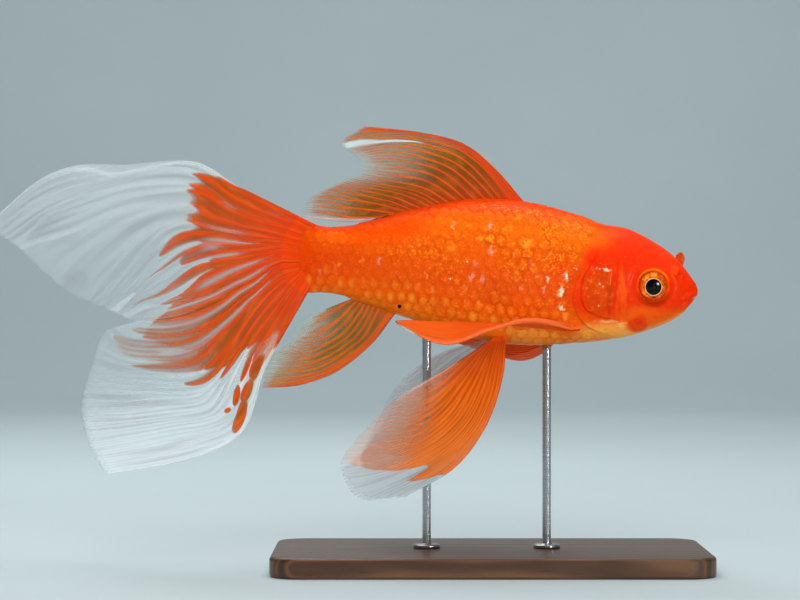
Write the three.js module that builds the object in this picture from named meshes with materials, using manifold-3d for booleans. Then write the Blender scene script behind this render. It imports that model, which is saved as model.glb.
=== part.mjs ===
// A long-finned goldfish of the comet type, life size, swimming level above a small display stand.
// Units are millimetres. +Z is up, the snout points to +X, and the fish's right side faces -Y.
// The origin is on the floor, under the middle of the stand's base.

import * as THREE from "three";
import { ParametricGeometry } from "three/addons/geometries/ParametricGeometry.js";
import { mergeVertices } from "three/addons/utils/BufferGeometryUtils.js";
import Module from "manifold-3d";

const wasm = await Module();
wasm.setup();

// ---------------------------------------------------------------- driving dimensions

const GAP = 0.3; // between pieces that meet
const MERGE_DISTANCE = 1e-3;
const BEYOND = 20; // a cut reaches this far past the fish on each side
const FIN_BASE_THICKNESS = 1.4;
const FIN_EDGE_THICKNESS = 0.6;
const GILL_PLATE_THICKNESS = 1.6;
const MEDIAN_ROOT = 0.07; // how far a fin is drawn into the body before it is trimmed, as a share of its rays
const PAIRED_ROOT = 0.035;
const FIRST_STRETCH = 0.02; // the share of a ray that sets the direction it is drawn into the body

// Body stations from the snout to the tail root: x, top, bottom, half width, height of the widest point.
const SNOUT_X = 62.3;
const STATIONS = [
  [62.3, 83.2, 83.2, 0, 83.2],
  [61.6, 85.4, 81.1, 1.9, 83.2],
  [60.4, 87.1, 79.8, 3.1, 83.2],
  [58.3, 90.0, 77.0, 4.6, 83.0],
  [54.6, 94.0, 74.3, 6.4, 83.0],
  [49.5, 97.6, 72.1, 8.4, 83.5],
  [41.2, 101.8, 69.5, 10.5, 84.0],
  [34.2, 103.2, 68.2, 11.7, 84.5],
  [27.0, 105.9, 67.5, 12.4, 85.5],
  [9.9, 110.1, 66.8, 12.8, 87.0],
  [-6.0, 110.6, 69.1, 11.9, 89.0],
  [-21.0, 108.0, 73.5, 9.7, 91.0],
  [-35.4, 104.4, 78.6, 7.0, 92.0],
  [-48.0, 102.4, 82.4, 4.9, 92.5],
  [-56.1, 104.4, 82.2, 3.4, 93.4],
];
const TAIL_ROOT_X = -56.1;
const TAIL_ROOT_REACH = 6.6; // the rounded end of the flesh, past the last station
const SECTION_POWER = 2.2; // 2 is an ellipse
const THINNEST = 0.02; // the least half width of a shrunken body
const BODY_SEGMENTS = { around: 24, along: 36 };
const END_CROWDING = 0.55; // 0 spaces the body's rings evenly, 1 crowds them fully towards its ends

const STALK_FRONT_X = -37.5; // where the tail stalk begins
// The ends of the cuts that part the body, all well clear of it.
const [REAR_X, FRONT_X, LOW_Z, HIGH_Z] = [-90, 90, 60, 112];
// The rear edge of the head and gill cover, from the nape to the throat: x, z.
const GILL_STEPS = 20;
const GILL_LINE = [
  [41.0, HIGH_Z],
  [36.4, 102.3],
  [31.2, 91.8],
  [27.2, 84.0],
  [27.3, 78.9],
  [29.9, 75.0],
  [35.4, 71.4],
  [45.6, 67.5],
  [52.0, LOW_Z],
];
const GILL_THROAT = 3; // each gill cover ends this far from the middle of the throat
// One gill cover's outline behind the cheek: x, z.
const COVER_STEPS = 24;
const GILL_COVER = [
  [36.8, 91.4],
  [32.4, 91.5],
  [29.6, 87.6],
  [28.1, 83.4],
  [28.3, 79.0],
  [30.9, 75.2],
  [35.8, 72.5],
  [41.6, 71.6],
  [38.4, 76.0],
  [36.4, 81.4],
];
// The lower jaw's outline, whose upper edge is the mouth: x, z.
const MOUTH_LINE = [
  [68.0, 81.3],
  [60.8, 81.0],
  [57.4, 79.4],
  [55.0, 76.6],
  [53.6, 68.0],
  [68.0, 68.0],
];

const EYE_CENTRE = { x: 48.0, y: 7.4, z: 84.9 };
const EYE_RADIUS = 4.7;
const EYE_DEPTH = 3.0; // half its size from side to side

const BASE_SIZE = { x: 130, y: 64, z: 6 };
const BASE_CORNER = 9;
const BASE_BEVEL = 1;
const ROD_RADIUS = 1.3;
const ROD_FLANGE = { radius: 4, height: 1.2 };
const ROD_FRONT_X = 17;
const ROD_REAR_X = -19;

const ORANGE = { color: 0xee5a0c, roughness: 0.35, metalness: 0.0 };
const HEAD_RED = { color: 0xee3a10, roughness: 0.3, metalness: 0.0 };
const FIN_ORANGE = { color: 0xe05a14, roughness: 0.4, metalness: 0.0 };
const EYE_GOLD = { color: 0xd98018, roughness: 0.1, metalness: 0.0 };
const WALNUT = { color: 0x4a3122, roughness: 0.5, metalness: 0.0 };
const STEEL = { color: 0xb8babd, roughness: 0.3, metalness: 1.0 };

// ---------------------------------------------------------------- fins, as fans of rays
// Each fin is a list of guide rays from its leading edge to its trailing edge. A ray is five
// points from the body to the fin's edge.

const TAIL_FIN = [
  [[-56.7, 0, 105.3], [-75, 0.5, 114.3], [-99.2, 2, 121.9], [-124.2, 5, 121.2], [-150.7, 8, 104.4]],
  [[-60, 0, 102], [-82.5, -0.5, 110.4], [-107.9, -1, 114], [-130.6, 1, 109.8], [-148.4, 3, 100.3]],
  [[-61.8, 0, 98.4], [-86.9, -1, 104.1], [-110.7, -3, 104.9], [-128.5, -4, 98.9], [-140.5, -3, 95.3]],
  [[-62.4, 0, 95.1], [-86.4, -0.5, 98.4], [-104.3, -1, 96.3], [-118.6, 1, 90], [-128.9, 4, 83.7]],
  [[-62.4, 0, 92.4], [-84.6, 0, 93.6], [-99.2, 2, 90], [-108.5, 5, 84.9], [-117.3, 8, 78]],
  [[-62.1, 0, 90.3], [-82.5, 0, 88.2], [-94.4, -1, 82.8], [-101.8, -2, 77.7], [-106, -2, 73.2]],
  [[-61.2, 0, 87.9], [-79.5, -0.5, 81.9], [-93.4, -2, 75.9], [-105.2, -4, 72.3], [-114.9, -5, 71.2]],
  [[-60, 0, 85.8], [-75.6, 0.5, 73.8], [-90, 0, 66.3], [-104.9, -1, 63], [-119.8, -2, 60.1]],
  [[-58.2, 0, 84], [-71.5, 1, 66.9], [-83.6, 2, 54.5], [-102.3, 3, 51.5], [-123.5, 4, 47.8]],
  [[-56.4, 0, 82.8], [-68.1, 0.5, 61.8], [-76.9, 1, 46.5], [-96.1, 1, 41.9], [-120.4, 1, 36.5]],
  [[-55, 0, 81.9], [-67, 0, 60.3], [-73.9, -1, 41.2], [-89.7, -3, 32.9], [-114.8, -6, 28.3]],
];
const TAIL_FORK = 0.5; // where the fork divides the fan
const FORK_CUT = 0.008; // half the cut between the lobes, as a share of the fan
// The tail's leading edge ripples: how far it is lifted at each place along it.
const TAIL_RIPPLE = [[0, 0], [0.25, 0], [0.375, 2.7], [0.5, 0.2], [0.62, -1.9], [0.75, 0], [0.88, 2.2], [1, 0.4]];
const RIPPLE_REACH = 0.13; // the share of the fan that ripples

const DORSAL_FIN = [
  [[10.5, 0, 109.5], [2.1, 0, 119.4], [-7.5, 0, 127.2], [-21, 0.5, 130.8], [-38.1, 1.5, 132.7]],
  [[6.6, 0, 110.4], [-3.6, 0, 120.9], [-13.5, 0.3, 125.7], [-27, 1, 129.4], [-45, 2, 127.9]],
  [[0, 0, 111], [-9, 0, 120], [-19.5, 0, 124.5], [-31.5, 0, 126.3], [-42, 0, 124.8]],
  [[-6.6, 0, 110.6], [-15, 0, 117.9], [-24, -0.5, 121.5], [-33, -1, 122.6], [-39.3, -1.5, 122]],
  [[-13.5, 0, 109.4], [-21, 0, 114.3], [-28.5, -0.5, 117.3], [-35.4, -1, 118.4], [-40.5, -1, 118.1]],
  [[-19.5, 0, 108.3], [-27, 0, 111.9], [-34.5, 0, 114.3], [-42, 0, 115.2], [-48, 0.5, 114.9]],
  [[-25.5, 0, 107.1], [-33, 0, 109.5], [-40.5, 0.5, 111], [-48, 1, 111.9], [-54.1, 2, 111.1]],
  [[-31.5, 0, 105.2], [-37, 0.4, 104.1], [-43, 0.9, 103.8], [-50, 1.5, 104.4], [-57.6, 2.2, 105.2]],
];

const ANAL_FIN = [
  [[-29.1, 0, 75.3], [-35.7, 0.5, 66.9], [-45.9, 1, 58.8], [-57.1, 2, 54.8], [-68.6, 3, 53.9]],
  [[-31.5, 0, 76.5], [-40.5, 0, 68.4], [-51, 0.5, 63], [-59.5, 1.5, 60.6], [-67.6, 2.5, 59]],
  [[-34.2, 0, 78], [-43.5, 0, 72], [-52.5, 0, 68.1], [-60, 0.5, 66], [-66.1, 1.5, 63.9]],
  [[-37.2, 0, 79.5], [-45.6, 0, 75.9], [-51.9, -0.5, 72.9], [-56.4, 0, 70.2], [-60.9, 0, 66.9]],
  [[-40.8, 0, 81], [-47.4, 0, 78.5], [-51.6, -0.5, 76.5], [-54.9, -1, 74.4], [-58.2, -1, 71.1]],
];

// The paired fins differ a little from side to side, as a swimming fish holds them.
const PELVIC_FIN_RIGHT = [
  [[4.5, -6, 68.2], [3.5, -10, 57.6], [-1.4, -14, 43.6], [-10.9, -16, 31.1], [-25.5, -17, 22.6]],
  [[3.4, -6, 67.9], [-0.7, -10.5, 56.7], [-7.9, -15, 43.7], [-19.7, -18, 32.1], [-38.2, -19, 22.1]],
  [[2.2, -6, 67.9], [-4.8, -10.5, 57.3], [-15.2, -15, 45.1], [-27, -17, 35], [-43.7, -17, 28.2]],
  [[1, -6, 67.9], [-8, -9.5, 59.1], [-18.2, -13, 50], [-28.5, -14, 42.1], [-43.2, -13, 35.6]],
  [[-0.5, -6, 68.2], [-8.3, -8, 63.2], [-15.2, -10, 59.1], [-22.9, -11, 54.7], [-29.7, -11, 50.2]],
];
const PELVIC_FIN_LEFT = [
  [[4.5, 6, 68.2], [3.5, 10, 57.6], [-1.4, 14, 43.6], [-10.9, 16, 32.5], [-25, 17, 25]],
  [[3.4, 6, 67.9], [-0.7, 10.5, 56.7], [-7.9, 15, 43.7], [-19.7, 18, 33.5], [-34.5, 19, 25.5]],
  [[2.2, 6, 67.9], [-5.5, 10.5, 58], [-15.5, 15, 47.5], [-27, 17, 38], [-39.5, 17, 30.5]],
  [[1, 6, 68], [-9.5, 10, 62.5], [-19, 13.5, 55], [-28.5, 15, 47.5], [-36, 14.5, 39.5]],
  [[-0.5, 6, 68.3], [-11.5, 9.5, 65.6], [-20.5, 12.5, 61], [-27.5, 14, 55], [-31, 14, 49.2]],
];

const PECTORAL_FIN_RIGHT = [
  [[24.6, -8.9, 72.6], [11.1, -18, 74.7], [-1.1, -23, 71.4], [-13.4, -25, 67.4], [-25.5, -23, 71.7]],
  [[24.6, -8.7, 72.2], [11.2, -16, 73.9], [-0.7, -20, 72.5], [-13.9, -22, 69.9], [-27.9, -21, 73.4]],
  [[24.5, -8.5, 71.8], [11.3, -14, 73.2], [-0.6, -17, 73.2], [-13.8, -19, 72.2], [-28.5, -19.5, 74.3]],
  [[24.4, -8.3, 71.3], [11.4, -12, 72.4], [-0.5, -13.5, 73.6], [-13.8, -15.5, 74.1], [-25.5, -17, 74.4]],
];
const PECTORAL_FIN_LEFT = [
  [[24.6, 8.9, 72.2], [17.4, 15.5, 64.6], [10, 20, 61.7], [-0.6, 26, 64.6], [-14.5, 33, 68.5]],
  [[24.6, 8.7, 72], [16.4, 14.6, 66.4], [8, 19, 64.6], [-3, 24.5, 67], [-17, 31.5, 71]],
  [[24.5, 8.5, 71.7], [15.2, 13.8, 68.3], [6, 18, 67.6], [-5, 23, 69.8], [-17.5, 29.5, 72.8]],
  [[24.4, 8.3, 71.4], [14, 13, 70], [4, 17, 70.6], [-6.5, 21.5, 72.4], [-15.5, 27, 74]],
];

// ---------------------------------------------------------------- curves

// A smooth curve through [position, value] pairs whose positions run one way.
function smooth(pairs) {
  const last = pairs.length - 1;
  const slopes = pairs.map((_, i) => {
    const a = pairs[Math.max(0, i - 1)];
    const b = pairs[Math.min(last, i + 1)];
    return (b[1] - a[1]) / (b[0] - a[0]);
  });
  return (position) => {
    let i = 0;
    while (i < last - 1 && position > pairs[i + 1][0]) i++;
    const [p0, v0] = pairs[i];
    const [p1, v1] = pairs[i + 1];
    const width = p1 - p0;
    const t = THREE.MathUtils.clamp((position - p0) / width, 0, 1);
    const rise = t * t * (3 - 2 * t);
    return (
      v0 + (v1 - v0) * rise +
      width * slopes[i] * t * (1 - t) * (1 - t) -
      width * slopes[i + 1] * t * t * (1 - t)
    );
  };
}

// The snout is round, so a station's place is the square root of its distance behind the snout.
const fromSnout = (x) => Math.sqrt(Math.max(0, SNOUT_X - x));
const profile = (column) => smooth(STATIONS.map((s) => [fromSnout(s[0]), s[column]]));
const [topAt, bottomAt, halfWidthAt, widestAt] = [1, 2, 3, 4].map(profile);

// A point of the body's surface. angle 0 is the back and PI the belly; grow moves the surface out.
function bodyPoint(x, angle, grow) {
  const place = fromSnout(Math.max(x, TAIL_ROOT_X));
  const past = Math.max(0, TAIL_ROOT_X - x) / TAIL_ROOT_REACH;
  const closing = Math.sqrt(Math.max(0, 1 - past * past));
  const middle = widestAt(place);
  const up = Math.cos(angle);
  const out = Math.sin(angle);
  const round = (value) => Math.sign(value) * Math.abs(value) ** (2 / SECTION_POWER);
  const swell = (size) => Math.max(THINNEST, size * closing + grow);
  const height = Math.abs((up > 0 ? topAt(place) : bottomAt(place)) - middle);
  return new THREE.Vector3(x, swell(halfWidthAt(place)) * round(out), middle + swell(height) * round(up));
}

// ---------------------------------------------------------------- solids

// A closed solid from a geometry, with shared vertices merged, collapsed faces dropped and faces turned out.
function solidOf(geometry) {
  const bare = new THREE.BufferGeometry();
  const source = geometry.index ? geometry.toNonIndexed() : geometry;
  bare.setAttribute("position", source.getAttribute("position"));
  const merged = mergeVertices(bare, MERGE_DISTANCE);
  const faces = [];
  for (let i = 0; i < merged.index.count; i += 3) {
    const [a, b, c] = [0, 1, 2].map((k) => merged.index.getX(i + k));
    if (a !== b && b !== c && c !== a) faces.push([a, b, c]);
  }
  const make = (triangles) =>
    new wasm.Manifold(
      new wasm.Mesh({
        numProp: 3,
        vertProperties: new Float32Array(merged.attributes.position.array),
        triVerts: new Uint32Array(triangles.flat()),
      }),
    );
  const solid = make(faces);
  return solid.volume() > 0 ? solid : make(faces.map(([a, b, c]) => [b, a, c]));
}

function geometryOf(solid) {
  const mesh = solid.getMesh();
  const positions = new Float32Array(mesh.numVert * 3);
  for (let i = 0; i < mesh.numVert; i++) {
    positions.set(mesh.vertProperties.subarray(i * mesh.numProp, i * mesh.numProp + 3), i * 3);
  }
  const geometry = new THREE.BufferGeometry();
  geometry.setAttribute("position", new THREE.BufferAttribute(positions, 3));
  geometry.setIndex(new THREE.BufferAttribute(mesh.triVerts, 1));
  geometry.computeVertexNormals();
  return geometry;
}

// The largest piece, where a cut leaves slivers.
function largest(solid) {
  return solid.decompose().sort((a, b) => b.volume() - a.volume())[0];
}

// The whole body, from snout to tail root, grown or shrunk by a distance.
function bodySolid(grow) {
  const front = SNOUT_X + grow;
  const back = TAIL_ROOT_X - TAIL_ROOT_REACH - grow;
  const surface = (u, v, target) => {
    const eased = (1 - Math.cos(Math.PI * v)) / 2;
    const x = THREE.MathUtils.lerp(front, back, THREE.MathUtils.lerp(v, eased, END_CROWDING));
    const inside = THREE.MathUtils.clamp(x, TAIL_ROOT_X - TAIL_ROOT_REACH, SNOUT_X);
    const point = bodyPoint(inside, 2 * Math.PI * u, grow);
    const pole = v === 0 || v === 1;
    target.set(x, pole ? 0 : point.y, pole ? widestAt(fromSnout(inside)) : point.z);
  };
  return solidOf(new ParametricGeometry(surface, BODY_SEGMENTS.around, BODY_SEGMENTS.along));
}

// A vertical slab over an outline in x and z, from y = near to y = far.
function slab(outline, near = -BEYOND, far = BEYOND) {
  const shape = new THREE.Shape(outline.map(([x, z]) => new THREE.Vector2(x, z)));
  const geometry = new THREE.ExtrudeGeometry(shape, { depth: far - near, bevelEnabled: false });
  geometry.rotateX(Math.PI / 2).translate(0, far, 0);
  return solidOf(geometry);
}

// An outline made smooth, and moved out square to itself by a distance.
function rounded(points, grow = 0) {
  const curve = new THREE.SplineCurve([...points, points[0]].map(([x, z]) => new THREE.Vector2(x, z)));
  const outline = curve.getPoints(COVER_STEPS).slice(0, -1);
  const outward = THREE.ShapeUtils.area(outline) > 0 ? 1 : -1;
  return outline.map((p, i) => {
    const along = curve.getTangent(i / COVER_STEPS).multiplyScalar(outward * grow);
    return [p.x + along.y, p.y - along.x];
  });
}

// A fan of guide rays as a surface: u runs across the rays and v along them, below 0 inside the body.
// lift says how far its leading edge is raised at each v.
function fanSurface(rays, lift) {
  const along = rays.map(
    (ray) => new THREE.CatmullRomCurve3(ray.map((p) => new THREE.Vector3(...p)), false, "catmullrom", 0.5),
  );
  const onRay = (curve, v) => {
    if (v >= 0) return curve.getPoint(Math.min(v, 1));
    const root = curve.getPoint(0);
    return root.add(curve.getPoint(FIRST_STRETCH).sub(root).multiplyScalar(v / FIRST_STRETCH));
  };
  return (u, v) => {
    const across = along.map((curve) => onRay(curve, v));
    const point = new THREE.CatmullRomCurve3(across, false, "catmullrom", 0.5).getPoint(u);
    point.z += lift(v) * (1 - THREE.MathUtils.smoothstep(u, 0, RIPPLE_REACH));
    return point;
  };
}

// A fin as a thin closed solid, thick at its root and thin at its edge.
function finSolid(rays, across, along, rootDepth, from = 0, to = 1, lift = () => 0) {
  const surface = fanSurface(rays, lift);
  const step = 0.004; // a small share of the fan, to find which way the surface faces
  const ring = 2 * (across + 1);
  const facing = (u, v) => {
    const overU = surface(Math.min(u + step, 1), v).sub(surface(Math.max(u - step, 0), v));
    const overV = surface(u, Math.min(v + step, 1)).sub(surface(u, v - step));
    return overU.cross(overV).normalize();
  };
  const place = (a, b, target) => {
    const slot = Math.round(a * ring) % ring;
    const front = slot <= across;
    const u = THREE.MathUtils.lerp(from, to, (front ? slot : ring - 1 - slot) / across);
    const row = Math.round(b * (along + 2)) - 1;
    const share = THREE.MathUtils.clamp(row / along, 0, 1);
    const v = THREE.MathUtils.lerp(-rootDepth, 1, share);
    const half = THREE.MathUtils.lerp(FIN_BASE_THICKNESS, FIN_EDGE_THICKNESS, share) / 2;
    const capped = row < 0 || row > along;
    const offset = capped ? 0 : front ? half : -half;
    target.copy(surface(u, v)).addScaledVector(facing(u, v), offset);
  };
  return solidOf(new ParametricGeometry(place, ring, along + 2));
}

function ellipsoid(centre, size, around = 16, high = 10) {
  const geometry = new THREE.SphereGeometry(1, around, high);
  geometry.rotateX(Math.PI / 2).scale(...size).translate(...centre);
  return solidOf(geometry);
}

// ---------------------------------------------------------------- the group

const fish = new THREE.Group();
fish.name = "long_finned_goldfish";

function add(name, solid, finish) {
  const mesh = new THREE.Mesh(geometryOf(solid), new THREE.MeshStandardMaterial(finish));
  mesh.name = name;
  fish.add(mesh);
}

const body = bodySolid(0);
const grownBody = bodySolid(GAP);

// Head, lower jaw, gill covers, eyes and nose flaps.
const gillCurve = new THREE.SplineCurve(GILL_LINE.map(([x, z]) => new THREE.Vector2(x, z)));
const gillLine = (shift) => gillCurve.getPoints(GILL_STEPS).map((p) => [p.x + shift, p.y]);
let head = body.intersect(slab([...gillLine(GAP / 2), [FRONT_X, LOW_Z], [FRONT_X, HIGH_Z]]));

const jawCut = MOUTH_LINE.map(([x, z]) => [x - GAP, z + GAP]);
add("lower_jaw", largest(head.intersect(slab(MOUTH_LINE))), HEAD_RED);
head = head.subtract(slab(jawCut));

const underPlate = bodySolid(-GILL_PLATE_THICKNESS);
const underGap = bodySolid(-GILL_PLATE_THICKNESS - GAP);
for (const [side, near, far] of [["right", -BEYOND, -GILL_THROAT], ["left", GILL_THROAT, BEYOND]]) {
  const plate = slab(rounded(GILL_COVER), near, far).subtract(underPlate);
  add("gill_cover_" + side, largest(head.intersect(plate)), ORANGE);
  head = head.subtract(slab(rounded(GILL_COVER, GAP), near, far).subtract(underGap));
}
for (const [side, sign] of [["right", -1], ["left", 1]]) {
  const centre = [EYE_CENTRE.x, sign * EYE_CENTRE.y, EYE_CENTRE.z];
  add("eye_" + side, ellipsoid(centre, [EYE_RADIUS, EYE_DEPTH, EYE_RADIUS]), EYE_GOLD);
  const socket = [EYE_RADIUS + GAP, EYE_DEPTH + GAP, EYE_RADIUS + GAP];
  head = head.subtract(ellipsoid(centre, socket));
}
add("head", largest(head), HEAD_RED);

// A nose flap is a small round lobe on a narrow neck, drawn upright and then laid against the snout.
function noseFlap() {
  const lobe = new THREE.Shape();
  lobe.moveTo(-0.5, 0);
  lobe.bezierCurveTo(-0.6, 1.6, -1.9, 2.2, -1.6, 3.6);
  lobe.bezierCurveTo(-1.3, 4.9, 1.2, 5.0, 1.5, 3.6);
  lobe.bezierCurveTo(1.8, 2.4, 0.7, 1.6, 0.6, 0);
  const bevel = { bevelThickness: 0.3, bevelSize: 0.25, bevelSegments: 1 };
  const geometry = new THREE.ExtrudeGeometry(lobe, { depth: 0.5, curveSegments: 5, ...bevel });
  return geometry.translate(0, 0, -0.25).rotateX(Math.PI / 2);
}
const degrees = THREE.MathUtils.degToRad;
const standing = noseFlap().rotateX(degrees(-14)).rotateY(degrees(10)).translate(56.9, 3.6, 90.2);
const lying = noseFlap().rotateX(degrees(24)).rotateY(degrees(192)).translate(55.4, -4.9, 91.2);
add("nasal_flap_left", largest(solidOf(standing).subtract(grownBody)), HEAD_RED);
add("nasal_flap_right", largest(solidOf(lying).subtract(grownBody)), HEAD_RED);

// Trunk and tail stalk.
const trunkRear = STALK_FRONT_X + GAP / 2;
const trunkOutline = [...gillLine(-GAP / 2), [trunkRear, LOW_Z], [trunkRear, HIGH_Z]];
add("trunk", largest(body.intersect(slab(trunkOutline))), ORANGE);
const stalkFront = STALK_FRONT_X - GAP / 2;
const stalkOutline = [[stalkFront, LOW_Z], [stalkFront, HIGH_Z], [REAR_X, HIGH_Z], [REAR_X, LOW_Z]];
add("tail_stalk", largest(body.intersect(slab(stalkOutline))), ORANGE);

// Fins, each trimmed to the body.
const ripple = smooth(TAIL_RIPPLE);
const fins = [
  ["dorsal_fin", finSolid(DORSAL_FIN, 14, 7, MEDIAN_ROOT)],
  ["tail_fin_upper", finSolid(TAIL_FIN, 14, 10, MEDIAN_ROOT, 0, TAIL_FORK - FORK_CUT, ripple)],
  ["tail_fin_lower", finSolid(TAIL_FIN, 14, 10, MEDIAN_ROOT, TAIL_FORK + FORK_CUT, 1)],
  ["anal_fin", finSolid(ANAL_FIN, 9, 6, MEDIAN_ROOT)],
  ["pelvic_fin_right", finSolid(PELVIC_FIN_RIGHT, 10, 8, PAIRED_ROOT)],
  ["pelvic_fin_left", finSolid(PELVIC_FIN_LEFT, 10, 8, PAIRED_ROOT)],
  ["pectoral_fin_right", finSolid(PECTORAL_FIN_RIGHT, 7, 9, PAIRED_ROOT)],
  ["pectoral_fin_left", finSolid(PECTORAL_FIN_LEFT, 7, 9, PAIRED_ROOT)],
];
for (const [name, solid] of fins) add(name, largest(solid.subtract(grownBody)), FIN_ORANGE);

// Display stand: a flat base and two rods with a flange at the foot.
function roundedRectangle(width, depth, corner) {
  const [x, y] = [width / 2, depth / 2];
  const shape = new THREE.Shape();
  shape.absarc(x - corner, y - corner, corner, 0, Math.PI / 2);
  shape.absarc(-x + corner, y - corner, corner, Math.PI / 2, Math.PI);
  shape.absarc(-x + corner, -y + corner, corner, Math.PI, 1.5 * Math.PI);
  shape.absarc(x - corner, -y + corner, corner, 1.5 * Math.PI, 2 * Math.PI);
  return shape;
}
const baseShape = roundedRectangle(
  BASE_SIZE.x - 2 * BASE_BEVEL,
  BASE_SIZE.y - 2 * BASE_BEVEL,
  BASE_CORNER - BASE_BEVEL,
);
const base = new THREE.ExtrudeGeometry(baseShape, {
  depth: BASE_SIZE.z - 2 * BASE_BEVEL,
  bevelThickness: BASE_BEVEL,
  bevelSize: BASE_BEVEL,
  bevelSegments: 1,
  curveSegments: 5,
}).translate(0, 0, BASE_BEVEL);
add("stand_base", solidOf(base), WALNUT);

for (const [name, x] of [["stand_rod_front", ROD_FRONT_X], ["stand_rod_rear", ROD_REAR_X]]) {
  const { radius, height } = ROD_FLANGE;
  const foot = BASE_SIZE.z;
  const insideBody = widestAt(fromSnout(x));
  const outline = [
    [0, foot],
    [radius, foot],
    [radius, foot + height],
    [ROD_RADIUS, foot + height],
    [ROD_RADIUS, insideBody],
    [0, insideBody],
  ].map(([r, z]) => new THREE.Vector2(r, z));
  const rod = new THREE.LatheGeometry(outline, 16).rotateX(Math.PI / 2).translate(x, 0, 0);
  add(name, largest(solidOf(rod).subtract(grownBody)), STEEL);
}

export default fish;
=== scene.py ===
"""A long-finned goldfish of the comet type, life size, swimming level above a small walnut display stand.

Shapes are worked out in millimetres, with the snout towards +X and the fish's right side facing -Y,
and turned to metres when a mesh is made.
"""

import functools
import math

import bpy
import numpy as np
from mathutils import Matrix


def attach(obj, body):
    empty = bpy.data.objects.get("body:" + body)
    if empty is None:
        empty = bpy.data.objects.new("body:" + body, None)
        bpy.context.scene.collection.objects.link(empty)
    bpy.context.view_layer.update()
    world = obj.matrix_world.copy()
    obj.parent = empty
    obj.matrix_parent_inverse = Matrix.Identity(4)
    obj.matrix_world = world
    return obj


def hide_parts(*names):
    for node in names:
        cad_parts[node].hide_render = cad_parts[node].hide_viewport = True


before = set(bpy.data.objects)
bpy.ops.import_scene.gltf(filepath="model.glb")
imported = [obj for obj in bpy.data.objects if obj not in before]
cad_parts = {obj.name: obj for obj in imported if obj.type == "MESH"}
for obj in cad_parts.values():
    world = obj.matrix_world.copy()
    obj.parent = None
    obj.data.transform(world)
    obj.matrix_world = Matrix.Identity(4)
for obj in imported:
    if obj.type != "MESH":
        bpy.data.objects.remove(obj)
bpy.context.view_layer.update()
MM = 0.001
BAKE_MAP = "OFBake"
rng = np.random.default_rng(41)

# ---------------------------------------------------------------- driving sizes, in millimetres

# Body stations from the snout to the tail root: x, top, bottom, half width, height of the widest point.
SNOUT_X = 62.3
STATIONS = np.array([
    (62.3, 83.2, 83.2, 0.0, 83.2),
    (61.6, 85.4, 81.1, 1.9, 83.2),
    (60.4, 87.1, 79.8, 3.1, 83.2),
    (58.3, 90.0, 77.0, 4.6, 83.0),
    (54.6, 94.0, 74.3, 6.4, 83.0),
    (49.5, 97.6, 72.1, 8.4, 83.5),
    (41.2, 101.8, 69.5, 10.5, 84.0),
    (34.2, 103.2, 68.2, 11.7, 84.5),
    (27.0, 105.9, 67.5, 12.4, 85.5),
    (9.9, 110.1, 66.8, 12.8, 87.0),
    (-6.0, 110.6, 69.1, 11.9, 89.0),
    (-21.0, 108.0, 73.5, 9.7, 91.0),
    (-35.4, 104.4, 78.6, 7.0, 92.0),
    (-48.0, 102.4, 82.4, 4.9, 92.5),
    (-56.1, 104.4, 82.2, 3.4, 93.4),
])
TAIL_ROOT_X = -56.1
TAIL_ROOT_REACH = 6.6
NARROWING = 0.6  # how much thinner the flesh gets over the tail root
SECTION_POWER = 2.2
COAT_DEPTH = 0.3  # the skin lies this far under the outer face of the scales

EYE = {"x": 48.0, "y": 7.4, "z": 84.6, "radius": 4.45, "socket": 4.4, "bulge": 1.75, "back": 2.6}
PUPIL_RADIUS = 2.42
PUPIL_RING = 2.6
PUPIL_OFFSET = (-0.1, 0.0, -0.35)  # from the middle of the eye

# ---------------------------------------------------------------- curves and surfaces


def smooth_curve(places, values):
    """A smooth function through values at rising places."""
    slopes = np.gradient(values)
    slopes[1:-1] = (values[2:] - values[:-2]) / (places[2:] - places[:-2])
    slopes[0] = (values[1] - values[0]) / (places[1] - places[0])
    slopes[-1] = (values[-1] - values[-2]) / (places[-1] - places[-2])

    def value_at(place):
        i = np.clip(np.searchsorted(places, place) - 1, 0, len(places) - 2)
        width = places[i + 1] - places[i]
        t = np.clip((place - places[i]) / width, 0.0, 1.0)
        rise = t * t * (3.0 - 2.0 * t)
        bend = slopes[i] * t * (1 - t) ** 2 - slopes[i + 1] * t * t * (1 - t)
        return values[i] + (values[i + 1] - values[i]) * rise + width * bend

    return value_at


def from_snout(x):
    return np.sqrt(np.maximum(SNOUT_X - x, 0.0))


TOP, BOTTOM, HALF_WIDTH, WIDEST = (
    smooth_curve(from_snout(STATIONS[:, 0]), STATIONS[:, column].copy()) for column in (1, 2, 3, 4)
)


def body_point(x, turn):
    """The body's outer surface. turn is 0 at the back, half pi on the left side and pi at the belly."""
    place = from_snout(np.maximum(x, TAIL_ROOT_X))
    past = np.clip((TAIL_ROOT_X - x) / TAIL_ROOT_REACH, 0.0, 1.0)
    closing = np.sqrt(1.0 - past**2)
    narrowing = 1.0 - NARROWING * ease(TAIL_ROOT_X + 6.0 - x, 0.0, TAIL_ROOT_REACH + 6.0)
    middle = WIDEST(place)
    up, out = np.cos(turn), np.sin(turn)
    high = np.abs(np.where(up > 0, TOP(place), BOTTOM(place)) - middle)

    def part(size, way):
        return np.maximum(size * closing, 0.0) * np.sign(way) * np.abs(way) ** (2 / SECTION_POWER)

    across = part(HALF_WIDTH(place) * narrowing, out)
    return np.stack([x + 0 * turn, across, middle + part(high, up)], axis=-1)


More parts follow.
